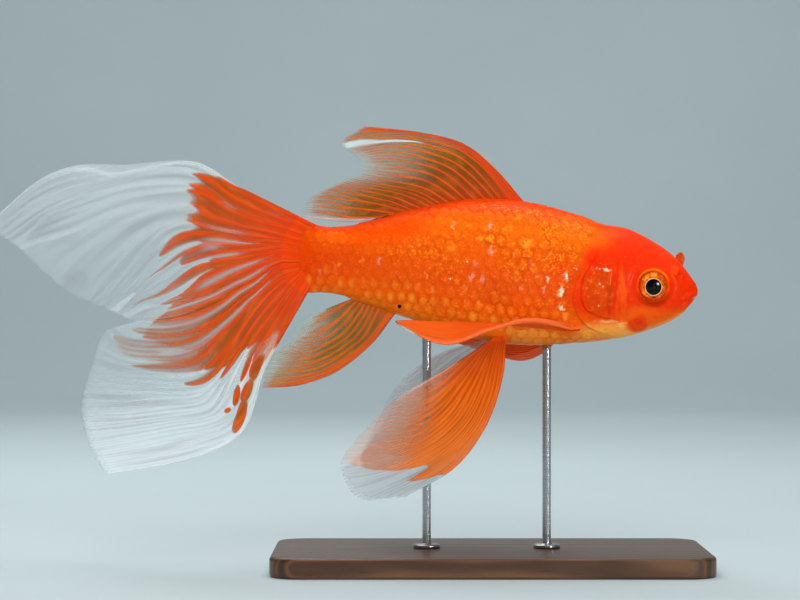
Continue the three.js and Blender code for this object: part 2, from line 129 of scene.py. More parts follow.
def body_normal(x, turn):
    """The direction square to the body's surface, pointing out."""
    step_x, step_turn = 0.15, 0.02
    inner = np.clip(x, TAIL_ROOT_X - TAIL_ROOT_REACH + 0.3, SNOUT_X - 0.3)
    along = body_point(inner + step_x, turn) - body_point(inner - step_x, turn)
    around = body_point(inner, turn + step_turn) - body_point(inner, turn - step_turn)
    square = np.cross(along, around)
    return square / np.maximum(np.linalg.norm(square, axis=-1, keepdims=True), 1e-9)


def spline_weights(count, places):
    """How much each of count points adds to a smooth line through them, at places from 0 to 1."""
    table = np.zeros((len(places), count))
    for row, place in enumerate(places):
        at = min(max(place, 0.0), 1.0) * (count - 1)
        i = min(int(at), count - 2)
        f = at - i
        shares = (
            -0.5 * f + f * f - 0.5 * f**3,
            1 - 2.5 * f * f + 1.5 * f**3,
            0.5 * f + 2 * f * f - 1.5 * f**3,
            -0.5 * f * f + 0.5 * f**3,
        )
        for k, share in zip(range(i - 1, i + 3), shares):
            if k < 0:
                table[row, 0] += 2 * share
                table[row, 1] -= share
            elif k > count - 1:
                table[row, -1] += 2 * share
                table[row, -2] -= share
            else:
                table[row, k] += share
    return table


def line_through(points, steps=160):
    points = np.array(points, float)
    return spline_weights(len(points), np.linspace(0, 1, steps)) @ points


def ease(value, low, high):
    """0 at low and before it, 1 at high and past it, smooth between."""
    t = np.clip((value - low) / (high - low), 0.0, 1.0)
    return t * t * (3.0 - 2.0 * t)


def bell(distance, width):
    return np.exp(-((distance / width) ** 2))


# ---------------------------------------------------------------- making meshes


def grid_corners(rows, columns, around=False):
    """The four corners of each face of a grid, as point numbers and as (row, column) pairs."""
    r, c = np.meshgrid(np.arange(rows - 1), np.arange(columns - 1 + int(around)), indexing="ij")
    pairs = np.stack([np.stack([r + dr, c + dc], -1) for dr, dc in ((0, 0), (0, 1), (1, 1), (1, 0))], 2)
    pairs = pairs.reshape(-1, 4, 2)
    return pairs[..., 0] * columns + pairs[..., 1] % columns, pairs


def fan_ends(rows, columns):
    """Triangles that close a tube: from one more point to its first ring, and from the next to its last."""
    ring, last = np.arange(columns), (rows - 1) * columns
    after = (ring + 1) % columns
    front = np.stack([np.full(columns, rows * columns), ring, after], -1)
    rear = np.stack([np.full(columns, rows * columns + 1), last + after, last + ring], -1)
    return np.concatenate([front, rear])


def flat_ends(rows, columns):
    """The two flat faces that close a tube."""
    ring = np.arange(columns)[None, :]
    return ring[:, ::-1], (rows - 1) * columns + ring


def make_piece(name, points, faces, corner_map, attributes=None):
    """A mesh object from points in millimetres. faces is a list of arrays of equal-sided faces."""
    first = points.mean(axis=0)
    volume = 0.0
    for block in faces:
        for k in range(1, block.shape[1] - 1):
            a, b, c = (points[block[:, j]] - first for j in (0, k, k + 1))
            volume += np.einsum("ij,ij->i", a, np.cross(b, c)).sum()
    if volume < 0:
        faces = [block[:, ::-1] for block in faces]
        corner_map = [block[:, ::-1] for block in corner_map]
    mesh = bpy.data.meshes.new(name)
    mesh.from_pydata((points * MM).tolist(), [], [face for block in faces for face in block.tolist()])
    flat = np.concatenate([block.reshape(-1, 2) for block in corner_map])
    mesh.uv_layers.new(name=BAKE_MAP).data.foreach_set("uv", flat.ravel())
    for key, values in (attributes or {}).items():
        kind = "FLOAT_VECTOR" if values.ndim == 2 else "FLOAT"
        layer = mesh.attributes.new(key, kind, "POINT")
        layer.data.foreach_set("vector" if values.ndim == 2 else "value", values.ravel())
    mesh.polygons.foreach_set("use_smooth", [True] * len(mesh.polygons))
    mesh.update()
    piece = bpy.data.objects.new(name, mesh)
    bpy.context.scene.collection.objects.link(piece)
    return piece


# ---------------------------------------------------------------- the head's lines, as x and z on each side

GILL_LINE = line_through([
    (41.0, 106.0), (37.6, 101.2), (34.4, 97.2), (30.6, 93.4), (27.4, 90.0), (25.0, 86.0), (24.2, 81.5),
    (24.8, 77.2), (27.2, 73.6), (31.2, 71.2), (37.5, 69.5), (45.0, 69.0),
])
OPERCLE = line_through([
    (32.4, 94.4), (30.0, 91.9), (27.9, 88.7), (26.7, 85.2), (26.5, 80.6), (28.0, 77.6), (30.8, 76.0),
    (35.9, 74.5),
])
PREOPERCLE = line_through([(37.6, 93.0), (36.4, 87.0), (36.4, 81.4), (38.4, 76.0), (42.4, 71.6)])
MOUTH = line_through([(64.0, 81.2), (61.4, 81.1), (59.2, 80.5), (57.3, 79.3)])
JAW_FOLD = line_through([(57.3, 79.3), (56.0, 77.2), (55.7, 75.2)])
LIP_FOLD = line_through([(63.4, 84.9), (60.4, 84.0), (58.0, 82.4), (56.5, 79.8)])
NOSTRIL = (56.0, 87.4)
LINE_REACH = 9.0  # distances from a line are measured this far round it
FAR_OFF = 99.0  # the distance given to all that lies further

# The head's relief, in millimetres: how far from its line or point each part lies, how high it is (below 0
# it is a furrow), and its half width.
RELIEF = {
    "cheek_furrow": (0.0, -0.26, 0.6),
    "mouth": (0.0, -0.24, 0.28),
    "lips": (1.0, 0.26, 0.62),
    "jaw_fold": (0.0, -0.3, 0.55),
    "lip_fold": (0.0, -0.08, 0.5),
    "eye_rim": (0.45, 0.36, 0.62),
    "eye_furrow": (2.2, -0.16, 0.8),
    "nostril": (0.0, -0.75, 0.6),
    "nostril_rim": (1.2, 0.16, 0.45),
}
# Edges fall away from their line: the height right at it, and the run over which it fades.
GILL_RIM, GILL_GROOVE = (0.16, 1.2), (-0.42, 1.1)
COVER_EDGE, COVER_STEP = (0.42, 1.6), (-0.34, 0.7)
COVER_SUNK = 0.12  # how much lower the gill cover's bone lies than its edge
COVER_DOME = {"x": 32.0, "z": 83.5, "half_length": 4.2, "half_height": 8.0, "height": 0.3}
SOCKET_DEPTH, SOCKET_WALL = 3.2, 0.55
# Ridges under the fins of back and belly, and mounds at the roots of the paired ones.
DORSAL_RIDGE = {"height": 0.55, "half_width": 1.5, "rear": (-34.0, -29.0), "front": (9.0, 13.0)}
ANAL_RIDGE = {"height": 0.5, "half_width": 1.3, "rear": (-43.0, -40.0), "front": (-29.5, -27.0)}
SHOULDER = {"height": 0.7, "x": 23.5, "z": 71.8, "half_length": 3.6, "half_width": 2.4}
HIP = {"height": 0.6, "x": 1.5, "y": 6.0, "half_length": 3.6, "half_width": 2.0}


def distance_to(line, x, z):
    """How far points lie from a line drawn on the side, and which side of it they are on."""
    away = np.full(x.shape, FAR_OFF)
    side = np.ones(x.shape)
    low, high = line.min(axis=0) - LINE_REACH, line.max(axis=0) + LINE_REACH
    near = (x > low[0]) & (x < high[0]) & (z > low[1]) & (z < high[1])
    gaps = np.stack([x[near], z[near]], -1)[:, None, :] - line[None, :, :]
    squares = (gaps**2).sum(-1)
    closest = squares.argmin(1)
    heading = np.gradient(line, axis=0)[closest]
    gap = gaps[np.arange(len(closest)), closest]
    away[near] = np.sqrt(squares.min(1))
    side[near] = np.sign(heading[:, 0] * gap[:, 1] - heading[:, 1] * gap[:, 0])
    return away, side


def behind_gills(x, z):
    """Signed distance behind the gill opening: above 0 on the trunk, below 0 on the head."""
    away, side = distance_to(GILL_LINE, x, z)
    measured = np.clip(-side * away, -LINE_REACH, LINE_REACH)
    guessed = np.where(x > 38.0, -LINE_REACH, LINE_REACH)
    return np.where(away == FAR_OFF, guessed, measured)


def relief(part, distance):
    """The height of a part of the head's relief at a distance from its line or point."""
    at, height, half_width = RELIEF[part]
    return height * bell(distance - at, half_width)


def fall(edge, distance):
    """The height of an edge that fades away from its line, where distance is 0 (below 0 further out)."""
    height, run = edge
    return height * np.exp(distance / run)


def head_relief(x, y, z):
    """How far the skin stands out from the plain body, in millimetres."""
    flank = ease(np.abs(y), 1.5, 4.5)
    behind = behind_gills(x, z)
    lift = -COAT_DEPTH * ease(behind, 0.2, 1.6 + 5.0 * ease(z, 92.0, 97.0))
    opening = flank * ease(z, 96.5, 91.0)
    lift += opening * np.where(behind < 0, fall(GILL_RIM, behind), fall(GILL_GROOVE, -behind))

    bony, side = distance_to(OPERCLE, x, z)
    in_front = -side * bony
    cover = flank * ease(z, 96.0, 92.0) * ease(-x, -37.0, -33.0)
    lift += cover * np.where(in_front < 0, fall(COVER_EDGE, in_front), fall(COVER_STEP, -in_front))
    lift -= COVER_SUNK * cover * (1 - ease(bony, 0.0, 3.0))
    along = (x - COVER_DOME["x"]) / COVER_DOME["half_length"]
    above = (z - COVER_DOME["z"]) / COVER_DOME["half_height"]
    lift += COVER_DOME["height"] * flank * bell(np.hypot(along, above), 1.0)
    lift += flank * relief("cheek_furrow", distance_to(PREOPERCLE, x, z)[0])

    mouth = distance_to(MOUTH, x, z)[0]
    lift += ease(x, 56.6, 58.2) * (relief("mouth", mouth) + relief("lips", mouth))
    lift += flank * relief("jaw_fold", distance_to(JAW_FOLD, x, z)[0])
    lift += relief("lip_fold", distance_to(LIP_FOLD, x, z)[0])

    from_socket = np.hypot(x - EYE["x"], z - EYE["z"]) - EYE["socket"]
    brow = 0.5 + 0.5 * ease(z - EYE["z"], -2.0, 3.0)
    lift -= SOCKET_DEPTH * flank * ease(-from_socket, 0.0, SOCKET_WALL)
    lift += flank * (brow * relief("eye_rim", from_socket) + relief("eye_furrow", from_socket))
    nostril = np.hypot(x - NOSTRIL[0], z - NOSTRIL[1])
    return lift + flank * (relief("nostril", nostril) + relief("nostril_rim", nostril))


def fin_root_relief(x, y, z):
    """Low swellings where the fins leave the body."""
    lift = np.zeros_like(x)
    for ridge, there in ((DORSAL_RIDGE, ease(z, 98.0, 101.0)), (ANAL_RIDGE, ease(-z, -86.0, -83.0))):
        low, high = ridge["front"]
        there = there * ease(x, *ridge["rear"]) * ease(-x, -high, -low)
        lift += ridge["height"] * there * bell(y, ridge["half_width"])
    for mound, across, there in (
        (SHOULDER, z - SHOULDER["z"], ease(np.abs(y), 4.0, 7.0)),
        (HIP, np.abs(y) - HIP["y"], ease(-z, -74.0, -71.0)),
    ):
        away = np.hypot((x - mound["x"]) / mound["half_length"], across / mound["half_width"])
        lift += mound["height"] * there * bell(away, 1.0)
    return lift


# ---------------------------------------------------------------- skin

FIRST_RING = 0.012  # how far the skin's first ring lies behind the tip of the snout
SNOUT_STEP = 0.03
HEAD_STEP = 0.25
FLANK_STEP = 0.5  # what is added to the steps behind the gills
TAIL_RINGS = 15
BODY_LENGTH = SNOUT_X - TAIL_ROOT_X + TAIL_ROOT_REACH
MAP_MARGIN = 0.02
MAP_SPAN = 1.0 - 2 * MAP_MARGIN


def ring_places():
    """Where the skin's rings go: crowded at the snout, over the head and at the tail root."""
    x, places = SNOUT_X - FIRST_RING, []
    while x > TAIL_ROOT_X:
        places.append(x)
        head_step = min(HEAD_STEP, SNOUT_STEP + 0.08 * math.sqrt(SNOUT_X - x))
        x -= head_step + FLANK_STEP * float(ease(-x, -27.0, -18.0))
    close = np.linspace(0, 1, TAIL_RINGS + 1)[:-1]
    places += list(TAIL_ROOT_X - TAIL_ROOT_REACH * np.sin(close * math.pi / 2))
    return np.array(places)


def make_skin(turns=300):
    x = ring_places()[:, None] + np.zeros(turns)[None, :]
    turn = np.linspace(0, 2 * math.pi, turns, endpoint=False)[None, :] + np.zeros_like(x)
    base = body_point(x, turn)
    lift = head_relief(*np.moveaxis(base, -1, 0)) + fin_root_relief(*np.moveaxis(base, -1, 0))
    reach = np.minimum(1.0, (SNOUT_X - x) / 0.5)
    points = base + body_normal(x, turn) * (lift * reach)[..., None]
    rows, columns = x.shape
    front = np.array([[SNOUT_X, 0.0, STATIONS[0, 1]]])
    rear = np.array([[TAIL_ROOT_X - TAIL_ROOT_REACH - 0.02, 0.0, points[-1, :, 2].mean()]])
    quads, pairs = grid_corners(rows, columns, around=True)
    distance = np.concatenate([[0.0], np.cumsum(-np.diff(x[:, 0]))])
    lie = MAP_MARGIN + MAP_SPAN * distance / distance[-1]
    quad_map = np.stack([lie[pairs[..., 0]], pairs[..., 1] / columns], -1)
    ring = np.arange(columns)
    around = np.stack([ring + 0.5, ring, ring + 1], -1) / columns
    along = np.array([[0.0, MAP_MARGIN, MAP_MARGIN]]).repeat(columns, 0)
    ends_map = [np.stack([along, around], -1), np.stack([1.0 - along, around[:, [0, 2, 1]]], -1)]
    all_points = np.concatenate([points.reshape(-1, 3), front, rear])
    girth = np.abs(turn - math.pi).ravel() / math.pi
    girth = np.concatenate([1.0 - girth, [0.5, 0.5]])
    gills = behind_gills(base[..., 0], base[..., 2]).ravel()
    gills = np.concatenate([gills, [-LINE_REACH, LINE_REACH]])
    return make_piece(
        "skin", all_points, [quads, fan_ends(rows, columns)], [quad_map, np.concatenate(ends_map)],
        {"place": all_points.copy(), "girth": girth, "behind_gills": gills},
    )


# ---------------------------------------------------------------- scales

COLUMN_PITCH = 3.25
ROW_PITCH = 3.5
SCALE_REAR = 2.5  # from a scale's middle to its rear edge
SCALE_FRONT = 2.2
SCALE_HALF_HEIGHT = 2.65
SCALE_THICKNESS = 0.08
SCALE_SLOPE = 0.044  # rise of a scale towards its rear edge
SCALE_ARCH = 0.03
SCALE_LIP = 0.04  # how much the outermost rim of a scale bends down
SCALE_CUP = 0.3  # how much deeper the middle of its underside lies, inside the skin
SCALE_SQUARENESS = 0.9
SCALE_SHRINK = 0.12  # how much smaller the scales get towards the tail
SIZE_SCATTER = 0.03
LEAN_SCATTER = 0.012
ROLL_SCATTER = 0.02
NAPE_DEPTH = 0.22  # how much deeper the scales lie where the back meets the head
GILL_GAP = 1.5  # bare skin behind the gill opening
SCALE_RINGS = (0.36, 0.64, 0.86, 0.965, 1.0)
SCALE_SIDES = 26
SCALE_ROWS = 9  # above and below the side line
FIRST_SCALE_X = 41.0
LAST_SCALE_X = -57.0
MAP_PATCH = 0.003  # a scale's patch in the bake map
turn_grid = np.linspace(-math.pi / 3, 4 * math.pi / 3, 421)
x_grid = np.linspace(SNOUT_X - 0.5, TAIL_ROOT_X - TAIL_ROOT_REACH + 0.3, 260)
arc_grid = np.arange(-44.0, 44.01, 0.25)


def arc_table():
    """The turn at each arc above (+) or below (-) the side line, for each x."""
    rows = []
    for x in x_grid:
        ring = body_point(np.full_like(turn_grid, x), turn_grid)
        arcs = np.concatenate([[0.0], np.cumsum(np.linalg.norm(np.diff(ring, axis=0), axis=1))])
        arcs = np.interp(math.pi / 2, turn_grid, arcs) - arcs
        rows.append(np.interp(arc_grid, arcs[::-1], turn_grid[::-1]))
    return np.array(rows)


def turn_at(table, x, arc):
    column = np.clip((arc - arc_grid[0]) / (arc_grid[1] - arc_grid[0]), 0, len(arc_grid) - 1.001)
    row = np.clip((x_grid[0] - x) / (x_grid[0] - x_grid[1]), 0, len(x_grid) - 1.001)
    i, j = row.astype(int), column.astype(int)
    f, g = row - i, column - j
    near = table[i, j] * (1 - g) + table[i, j + 1] * g
    far = table[i + 1, j] * (1 - g) + table[i + 1, j + 1] * g
    return near * (1 - f) + far * f


def scale_roots(table):
    """The middle of every scale on one side: x and arc from the side line, row by row."""
    roots = []
    for row in range(-SCALE_ROWS, SCALE_ROWS + 1):
        x = FIRST_SCALE_X - (COLUMN_PITCH / 2 if row % 2 else 0.0)
        while x > LAST_SCALE_X:
            turn = float(turn_at(table, np.array([x]), np.array([row * ROW_PITCH]))[0])
            point = body_point(np.array([x]), np.array([turn]))[0]
            clear = behind_gills(point[:1], point[2:])[0]
            if 0.04 < turn < math.pi - 0.02 and clear > GILL_GAP:
                roots.append((x, row * ROW_PITCH))
            x -= COLUMN_PITCH
    return np.array(roots)


def scale_shape():
    """One scale, flat: its points as (rearward, upward, ring share, is underside), and its faces."""
    angle = np.linspace(0, 2 * math.pi, SCALE_SIDES, endpoint=False)
    reach = np.where(np.cos(angle) > 0, SCALE_REAR, SCALE_FRONT)
    p = np.sign(np.cos(angle)) * np.abs(np.cos(angle)) ** SCALE_SQUARENESS * reach
    q = np.sign(np.sin(angle)) * np.abs(np.sin(angle)) ** SCALE_SQUARENESS * SCALE_HALF_HEIGHT
    points = [(0.0, 0.0, 0.0, 0.0)]
    for share in SCALE_RINGS:
        points += [(a * share, b * share, share, 0.0) for a, b in zip(p, q)]
    points += [(a, b, 1.0, 1.0) for a, b in zip(p, q)]
    points.append((0.0, 0.0, 0.0, 1.0))
    k = np.arange(SCALE_SIDES)
    after = (k + 1) % SCALE_SIDES
    fans = [np.stack([np.zeros_like(k), 1 + k, 1 + after], -1)]
    under = 1 + len(SCALE_RINGS) * SCALE_SIDES
    fans.append(np.stack([np.full_like(k, under + SCALE_SIDES), under + after, under + k], -1))
    quads = []
    for ring in range(len(SCALE_RINGS)):
        a, b = 1 + ring * SCALE_SIDES, 1 + (ring + 1) * SCALE_SIDES
        quads.append(np.stack([a + k, b + k, b + after, a + after], -1))
    return np.array(points), np.concatenate(fans), np.concatenate(quads)


def make_scales(name, table, side):
    """All the scales of one side, joined: side is 1 on the left and -1 on the right."""
    roots = scale_roots(table)
    shape, fans, quads = scale_shape()
    count, each = len(roots), len(shape)
    size = 1.0 - SCALE_SHRINK * ease(-roots[:, 0], 25.0, 57.0)
    size *= rng.uniform(1.0 - SIZE_SCATTER, 1.0 + SIZE_SCATTER, count)
    lean = rng.normal(0.0, LEAN_SCATTER, count)
    roll = rng.normal(0.0, ROLL_SCATTER, count)
    p = shape[None, :, 0] * size[:, None]
    q = shape[None, :, 1] * size[:, None]
    rise = (SCALE_SLOPE + lean)[:, None] * (p - SCALE_REAR * size[:, None]) + roll[:, None] * q
    rise -= SCALE_ARCH * (q / SCALE_HALF_HEIGHT) ** 2 + SCALE_LIP * shape[None, :, 2] ** 8
    rise -= shape[None, :, 3] * (SCALE_THICKNESS + SCALE_CUP * (shape[None, :, 2] < 0.5))
    x = roots[:, :1] - p
    turn = turn_at(table, x, roots[:, 1:] + q)
    root_turn = turn_at(table, roots[:, 0], roots[:, 1])
    root_place = body_point(roots[:, 0], root_turn)
    root_place[:, 1] *= side
    chance = rng.uniform(0, 1, count)
    near_gills = ease(-behind_gills(root_place[:, 0], root_place[:, 2]), -7.0, -1.0)
    rise -= (NAPE_DEPTH * near_gills * ease(root_place[:, 2], 91.0, 96.0))[:, None]
    rise -= (COAT_DEPTH * ease(-root_place[:, 0], 48.0, 57.0))[:, None]
    points = body_point(x, turn) + body_normal(x, turn) * rise[..., None]
    points[..., 1] *= side
    start = (np.arange(count) * each)[:, None, None]
    lie = MAP_MARGIN + MAP_SPAN * (SNOUT_X - roots[:, 0]) / BODY_LENGTH
    centre = np.stack([lie, root_turn / (2 * math.pi)], -1)
    patch = np.stack([shape[:, 0] / SCALE_REAR, shape[:, 1] / SCALE_HALF_HEIGHT], -1) * MAP_PATCH / 2
    spots = centre[:, None, :] + patch[None, :, :]
    local = np.stack([p / SCALE_REAR, q / SCALE_HALF_HEIGHT, 0 * p + chance[:, None]], -1)

    def each_point(values):
        return np.repeat(values, each, axis=0)

    flat_spots = spots.reshape(-1, 2)
    all_fans = (fans[None] + start).reshape(-1, 3)
    all_quads = (quads[None] + start).reshape(-1, 4)
    return make_piece(
        name, points.reshape(-1, 3), [all_fans, all_quads], [flat_spots[all_fans], flat_spots[all_quads]],
        {
            "place": each_point(root_place),
            "girth": each_point(root_turn / math.pi),
            "behind_gills": each_point(np.full(count, LINE_REACH)),
            "scale_local": local.reshape(-1, 3),
        },
    )


# ---------------------------------------------------------------- fins
# Each fin is a list of guide rays from its leading edge to its trailing edge, of five points each.

TAIL_FIN = np.array([
    [(-56.7, 0, 105.3), (-75, 0.5, 114.3), (-99.2, 2, 121.9), (-124.2, 5, 121.2), (-150.7, 8, 104.4)],
    [(-60, 0, 102), (-82.5, -0.5, 110.4), (-107.9, -1, 114), (-130.6, 1, 109.8), (-148.4, 3, 100.3)],
    [(-61.8, 0, 98.4), (-86.9, -1, 104.1), (-110.7, -3, 104.9), (-128.5, -4, 98.9), (-140.5, -3, 95.3)],
    [(-62.4, 0, 95.1), (-86.4, -0.5, 98.4), (-104.3, -1, 96.3), (-118.6, 1, 90), (-128.9, 4, 83.7)],
    [(-62.4, 0, 92.4), (-84.6, 0, 93.6), (-99.2, 2, 90), (-108.5, 5, 84.9), (-117.3, 8, 78)],
    [(-62.1, 0, 90.3), (-82.5, 0, 88.2), (-94.4, -1, 82.8), (-101.8, -2, 77.7), (-106, -2, 73.2)],
    [(-61.2, 0, 87.9), (-79.5, -0.5, 81.9), (-93.4, -2, 75.9), (-105.2, -4, 72.3), (-114.9, -5, 71.2)],
    [(-60, 0, 85.8), (-75.6, 0.5, 73.8), (-90, 0, 66.3), (-104.9, -1, 63), (-119.8, -2, 60.1)],
    [(-58.2, 0, 84), (-71.5, 1, 66.9), (-83.6, 2, 54.5), (-102.3, 3, 51.5), (-123.5, 4, 47.8)],
    [(-56.4, 0, 82.8), (-68.1, 0.5, 61.8), (-76.9, 1, 46.5), (-96.1, 1, 41.9), (-120.4, 1, 36.5)],
    [(-55, 0, 81.9), (-67, 0, 60.3), (-73.9, -1, 41.2), (-89.7, -3, 32.9), (-114.8, -6, 28.3)],
], float)
# The tail's leading edge ripples: how far it is lifted at each place along it.
TAIL_RIPPLE = np.array([
    (0, 0), (0.25, 0), (0.375, 2.7), (0.5, 0.2), (0.62, -1.9), (0.75, 0), (0.88, 2.2), (1, 0.4),
])
RIPPLE_REACH = 0.13  # the share of the fan that ripples

DORSAL_FIN = np.array([
    [(10.5, 0, 109.5), (2.1, 0, 119.4), (-7.5, 0, 127.2), (-21, 0.5, 130.8), (-38.1, 1.5, 132.7)],
    [(6.6, 0, 110.4), (-3.6, 0, 120.9), (-13.5, 0.3, 125.7), (-27, 1, 129.4), (-45, 2, 127.9)],
    [(0, 0, 111), (-9, 0, 120), (-19.5, 0, 124.5), (-31.5, 0, 126.3), (-42, 0, 124.8)],
    [(-6.6, 0, 110.6), (-15, 0, 117.9), (-24, -0.5, 121.5), (-33, -1, 122.6), (-39.3, -1.5, 122)],
    [(-13.5, 0, 109.4), (-21, 0, 114.3), (-28.5, -0.5, 117.3), (-35.4, -1, 118.4), (-40.5, -1, 118.1)],
    [(-19.5, 0, 108.3), (-27, 0, 111.9), (-34.5, 0, 114.3), (-42, 0, 115.2), (-48, 0.5, 114.9)],
    [(-25.5, 0, 107.1), (-33, 0, 109.5), (-40.5, 0.5, 111), (-48, 1, 111.9), (-54.1, 2, 111.1)],
    [(-31.5, 0, 105.2), (-37, 0.4, 104.1), (-43, 0.9, 103.8), (-50, 1.5, 104.4), (-57.6, 2.2, 105.2)],
], float)

ANAL_FIN = np.array([
    [(-29.1, 0, 75.3), (-35.7, 0.5, 66.9), (-45.9, 1, 58.8), (-57.1, 2, 54.8), (-68.6, 3, 53.9)],
    [(-31.5, 0, 76.5), (-40.5, 0, 68.4), (-51, 0.5, 63), (-59.5, 1.5, 60.6), (-67.6, 2.5, 59)],
    [(-34.2, 0, 78), (-43.5, 0, 72), (-52.5, 0, 68.1), (-60, 0.5, 66), (-66.1, 1.5, 63.9)],
    [(-37.2, 0, 79.5), (-45.6, 0, 75.9), (-51.9, -0.5, 72.9), (-56.4, 0, 70.2), (-60.9, 0, 66.9)],
    [(-40.8, 0, 81), (-47.4, 0, 78.5), (-51.6, -0.5, 76.5), (-54.9, -1, 74.4), (-58.2, -1, 71.1)],
], float)

PELVIC_FIN_RIGHT = np.array([
    [(4.5, -6, 68.2), (3.5, -10, 57.6), (-1.4, -14, 43.6), (-10.9, -16, 31.1), (-25.5, -17, 22.6)],
    [(3.4, -6, 67.9), (-0.7, -10.5, 56.7), (-7.9, -15, 43.7), (-19.7, -18, 32.1), (-38.2, -19, 22.1)],
    [(2.2, -6, 67.9), (-4.8, -10.5, 57.3), (-15.2, -15, 45.1), (-27, -17, 35), (-43.7, -17, 28.2)],
    [(1, -6, 67.9), (-8, -9.5, 59.1), (-18.2, -13, 50), (-28.5, -14, 42.1), (-43.2, -13, 35.6)],
    [(-0.5, -6, 68.2), (-8.3, -8, 63.2), (-15.2, -10, 59.1), (-22.9, -11, 54.7), (-29.7, -11, 50.2)],
], float)
PELVIC_FIN_LEFT = np.array([
    [(4.5, 6, 68.2), (3.5, 10, 57.6), (-1.4, 14, 43.6), (-10.9, 16, 32.5), (-25, 17, 25)],
    [(3.4, 6, 67.9), (-0.7, 10.5, 56.7), (-7.9, 15, 43.7), (-19.7, 18, 33.5), (-34.5, 19, 25.5)],
    [(2.2, 6, 67.9), (-5.5, 10.5, 58), (-15.5, 15, 47.5), (-27, 17, 38), (-39.5, 17, 30.5)],
    [(1, 6, 68), (-9.5, 10, 62.5), (-19, 13.5, 55), (-28.5, 15, 47.5), (-36, 14.5, 39.5)],
    [(-0.5, 6, 68.3), (-11.5, 9.5, 65.6), (-20.5, 12.5, 61), (-27.5, 14, 55), (-31, 14, 49.2)],
], float)
PECTORAL_FIN_RIGHT = np.array([
    [(24.6, -8.9, 72.6), (11.1, -18, 74.7), (-1.1, -23, 71.4), (-13.4, -25, 67.4), (-25.5, -23, 71.7)],
    [(24.6, -8.7, 72.2), (11.2, -16, 73.9), (-0.7, -20, 72.5), (-13.9, -22, 69.9), (-27.9, -21, 73.4)],
    [(24.5, -8.5, 71.8), (11.3, -14, 73.2), (-0.6, -17, 73.2), (-13.8, -19, 72.2), (-28.5, -19.5, 74.3)],
    [(24.4, -8.3, 71.3), (11.4, -12, 72.4), (-0.5, -13.5, 73.6), (-13.8, -15.5, 74.1), (-25.5, -17, 74.4)],
], float)
PECTORAL_FIN_LEFT = np.array([
    [(24.6, 8.9, 72.2), (17.4, 15.5, 64.6), (10, 20, 61.7), (-0.6, 26, 64.6), (-14.5, 33, 68.5)],
    [(24.6, 8.7, 72), (16.4, 14.6, 66.4), (8, 19, 64.6), (-3, 24.5, 67), (-17, 31.5, 71)],
    [(24.5, 8.5, 71.7), (15.2, 13.8, 68.3), (6, 18, 67.6), (-5, 23, 69.8), (-17.5, 29.5, 72.8)],
    [(24.4, 8.3, 71.4), (14, 13, 70), (4, 17, 70.6), (-6.5, 21.5, 72.4), (-15.5, 27, 74)],
], float)

# Real rays wander across the guide lines. RAY_PATHS says how. Each row is one ray, from the leading edge to
# the trailing edge, and holds its place between the guide lines, 0 to 1, at each station along the fin.
PATH_STATIONS = np.array([0.0, 0.1, 0.2, 0.3, 0.45, 0.6, 0.8, 1.0])
RAY_PATHS = {
    "tail": [
        (0.06, 0.07, 0.06, 0.035, 0.035, 0.05, 0.08, 0.1),
        (0.13, 0.15, 0.135, 0.1, 0.13, 0.16, 0.165, 0.19),
        (0.19, 0.21, 0.22, 0.2, 0.26, 0.3, 0.33, 0.35),
        (0.22, 0.27, 0.27, 0.285, 0.35, 0.39, 0.41, 0.41),
        (0.25, 0.31, 0.355, 0.39, 0.42, 0.425, 0.43, 0.425),
        (0.29, 0.385, 0.43, 0.44, 0.46, 0.47, 0.45, 0.435),
        (0.33, 0.45, 0.51, 0.535, 0.535, 0.515, 0.475, 0.45),
        (0.4, 0.53, 0.57, 0.585, 0.575, 0.56, 0.515, 0.465),
        (0.47, 0.585, 0.62, 0.64, 0.645, 0.63, 0.59, 0.53),
        (0.57, 0.635, 0.665, 0.685, 0.705, 0.705, 0.68, 0.62),
        (0.66, 0.69, 0.72, 0.75, 0.775, 0.78, 0.76, 0.72),
        (0.74, 0.755, 0.77, 0.79, 0.81, 0.85, 0.85, 0.83),
        (0.83, 0.835, 0.84, 0.85, 0.88, 0.91, 0.91, 0.9),
    ],
    "dorsal": [
        (0.19, 0.175, 0.16, 0.145, 0.115, 0.135, 0.18, 0.2),
        (0.28, 0.285, 0.29, 0.29, 0.295, 0.3, 0.33, 0.34),
        (0.4, 0.4, 0.405, 0.41, 0.425, 0.44, 0.45, 0.43),
        (0.5, 0.5, 0.51, 0.52, 0.55, 0.565, 0.56, 0.54),
        (0.6, 0.6, 0.61, 0.635, 0.665, 0.665, 0.64, 0.6),
        (0.68, 0.68, 0.69, 0.7, 0.725, 0.73, 0.71, 0.66),
        (0.8, 0.8, 0.8, 0.81, 0.81, 0.8, 0.78, 0.75),
        (0.9, 0.9, 0.9, 0.9, 0.9, 0.9, 0.89, 0.88),
    ],
    "anal": [
        (0.4, 0.27, 0.19, 0.17, 0.15, 0.155, 0.19, 0.24),
        (0.58, 0.42, 0.32, 0.28, 0.245, 0.25, 0.33, 0.44),
        (0.72, 0.56, 0.45, 0.39, 0.355, 0.37, 0.48, 0.62),
        (0.84, 0.7, 0.59, 0.52, 0.475, 0.49, 0.62, 0.78),
        (0.93, 0.84, 0.74, 0.68, 0.645, 0.66, 0.77, 0.88),
    ],
    "pelvic": [
        (0.2, 0.17, 0.13, 0.09, 0.085, 0.1, 0.14, 0.18),
        (0.38, 0.33, 0.27, 0.22, 0.2, 0.22, 0.29, 0.36),
        (0.52, 0.48, 0.42, 0.36, 0.33, 0.36, 0.5, 0.62),
        (0.65, 0.62, 0.57, 0.52, 0.48, 0.52, 0.67, 0.78),
        (0.8, 0.78, 0.74, 0.7, 0.68, 0.75, 0.86, 0.93),
    ],
    "pectoral": [(0.5,) * 8],
}

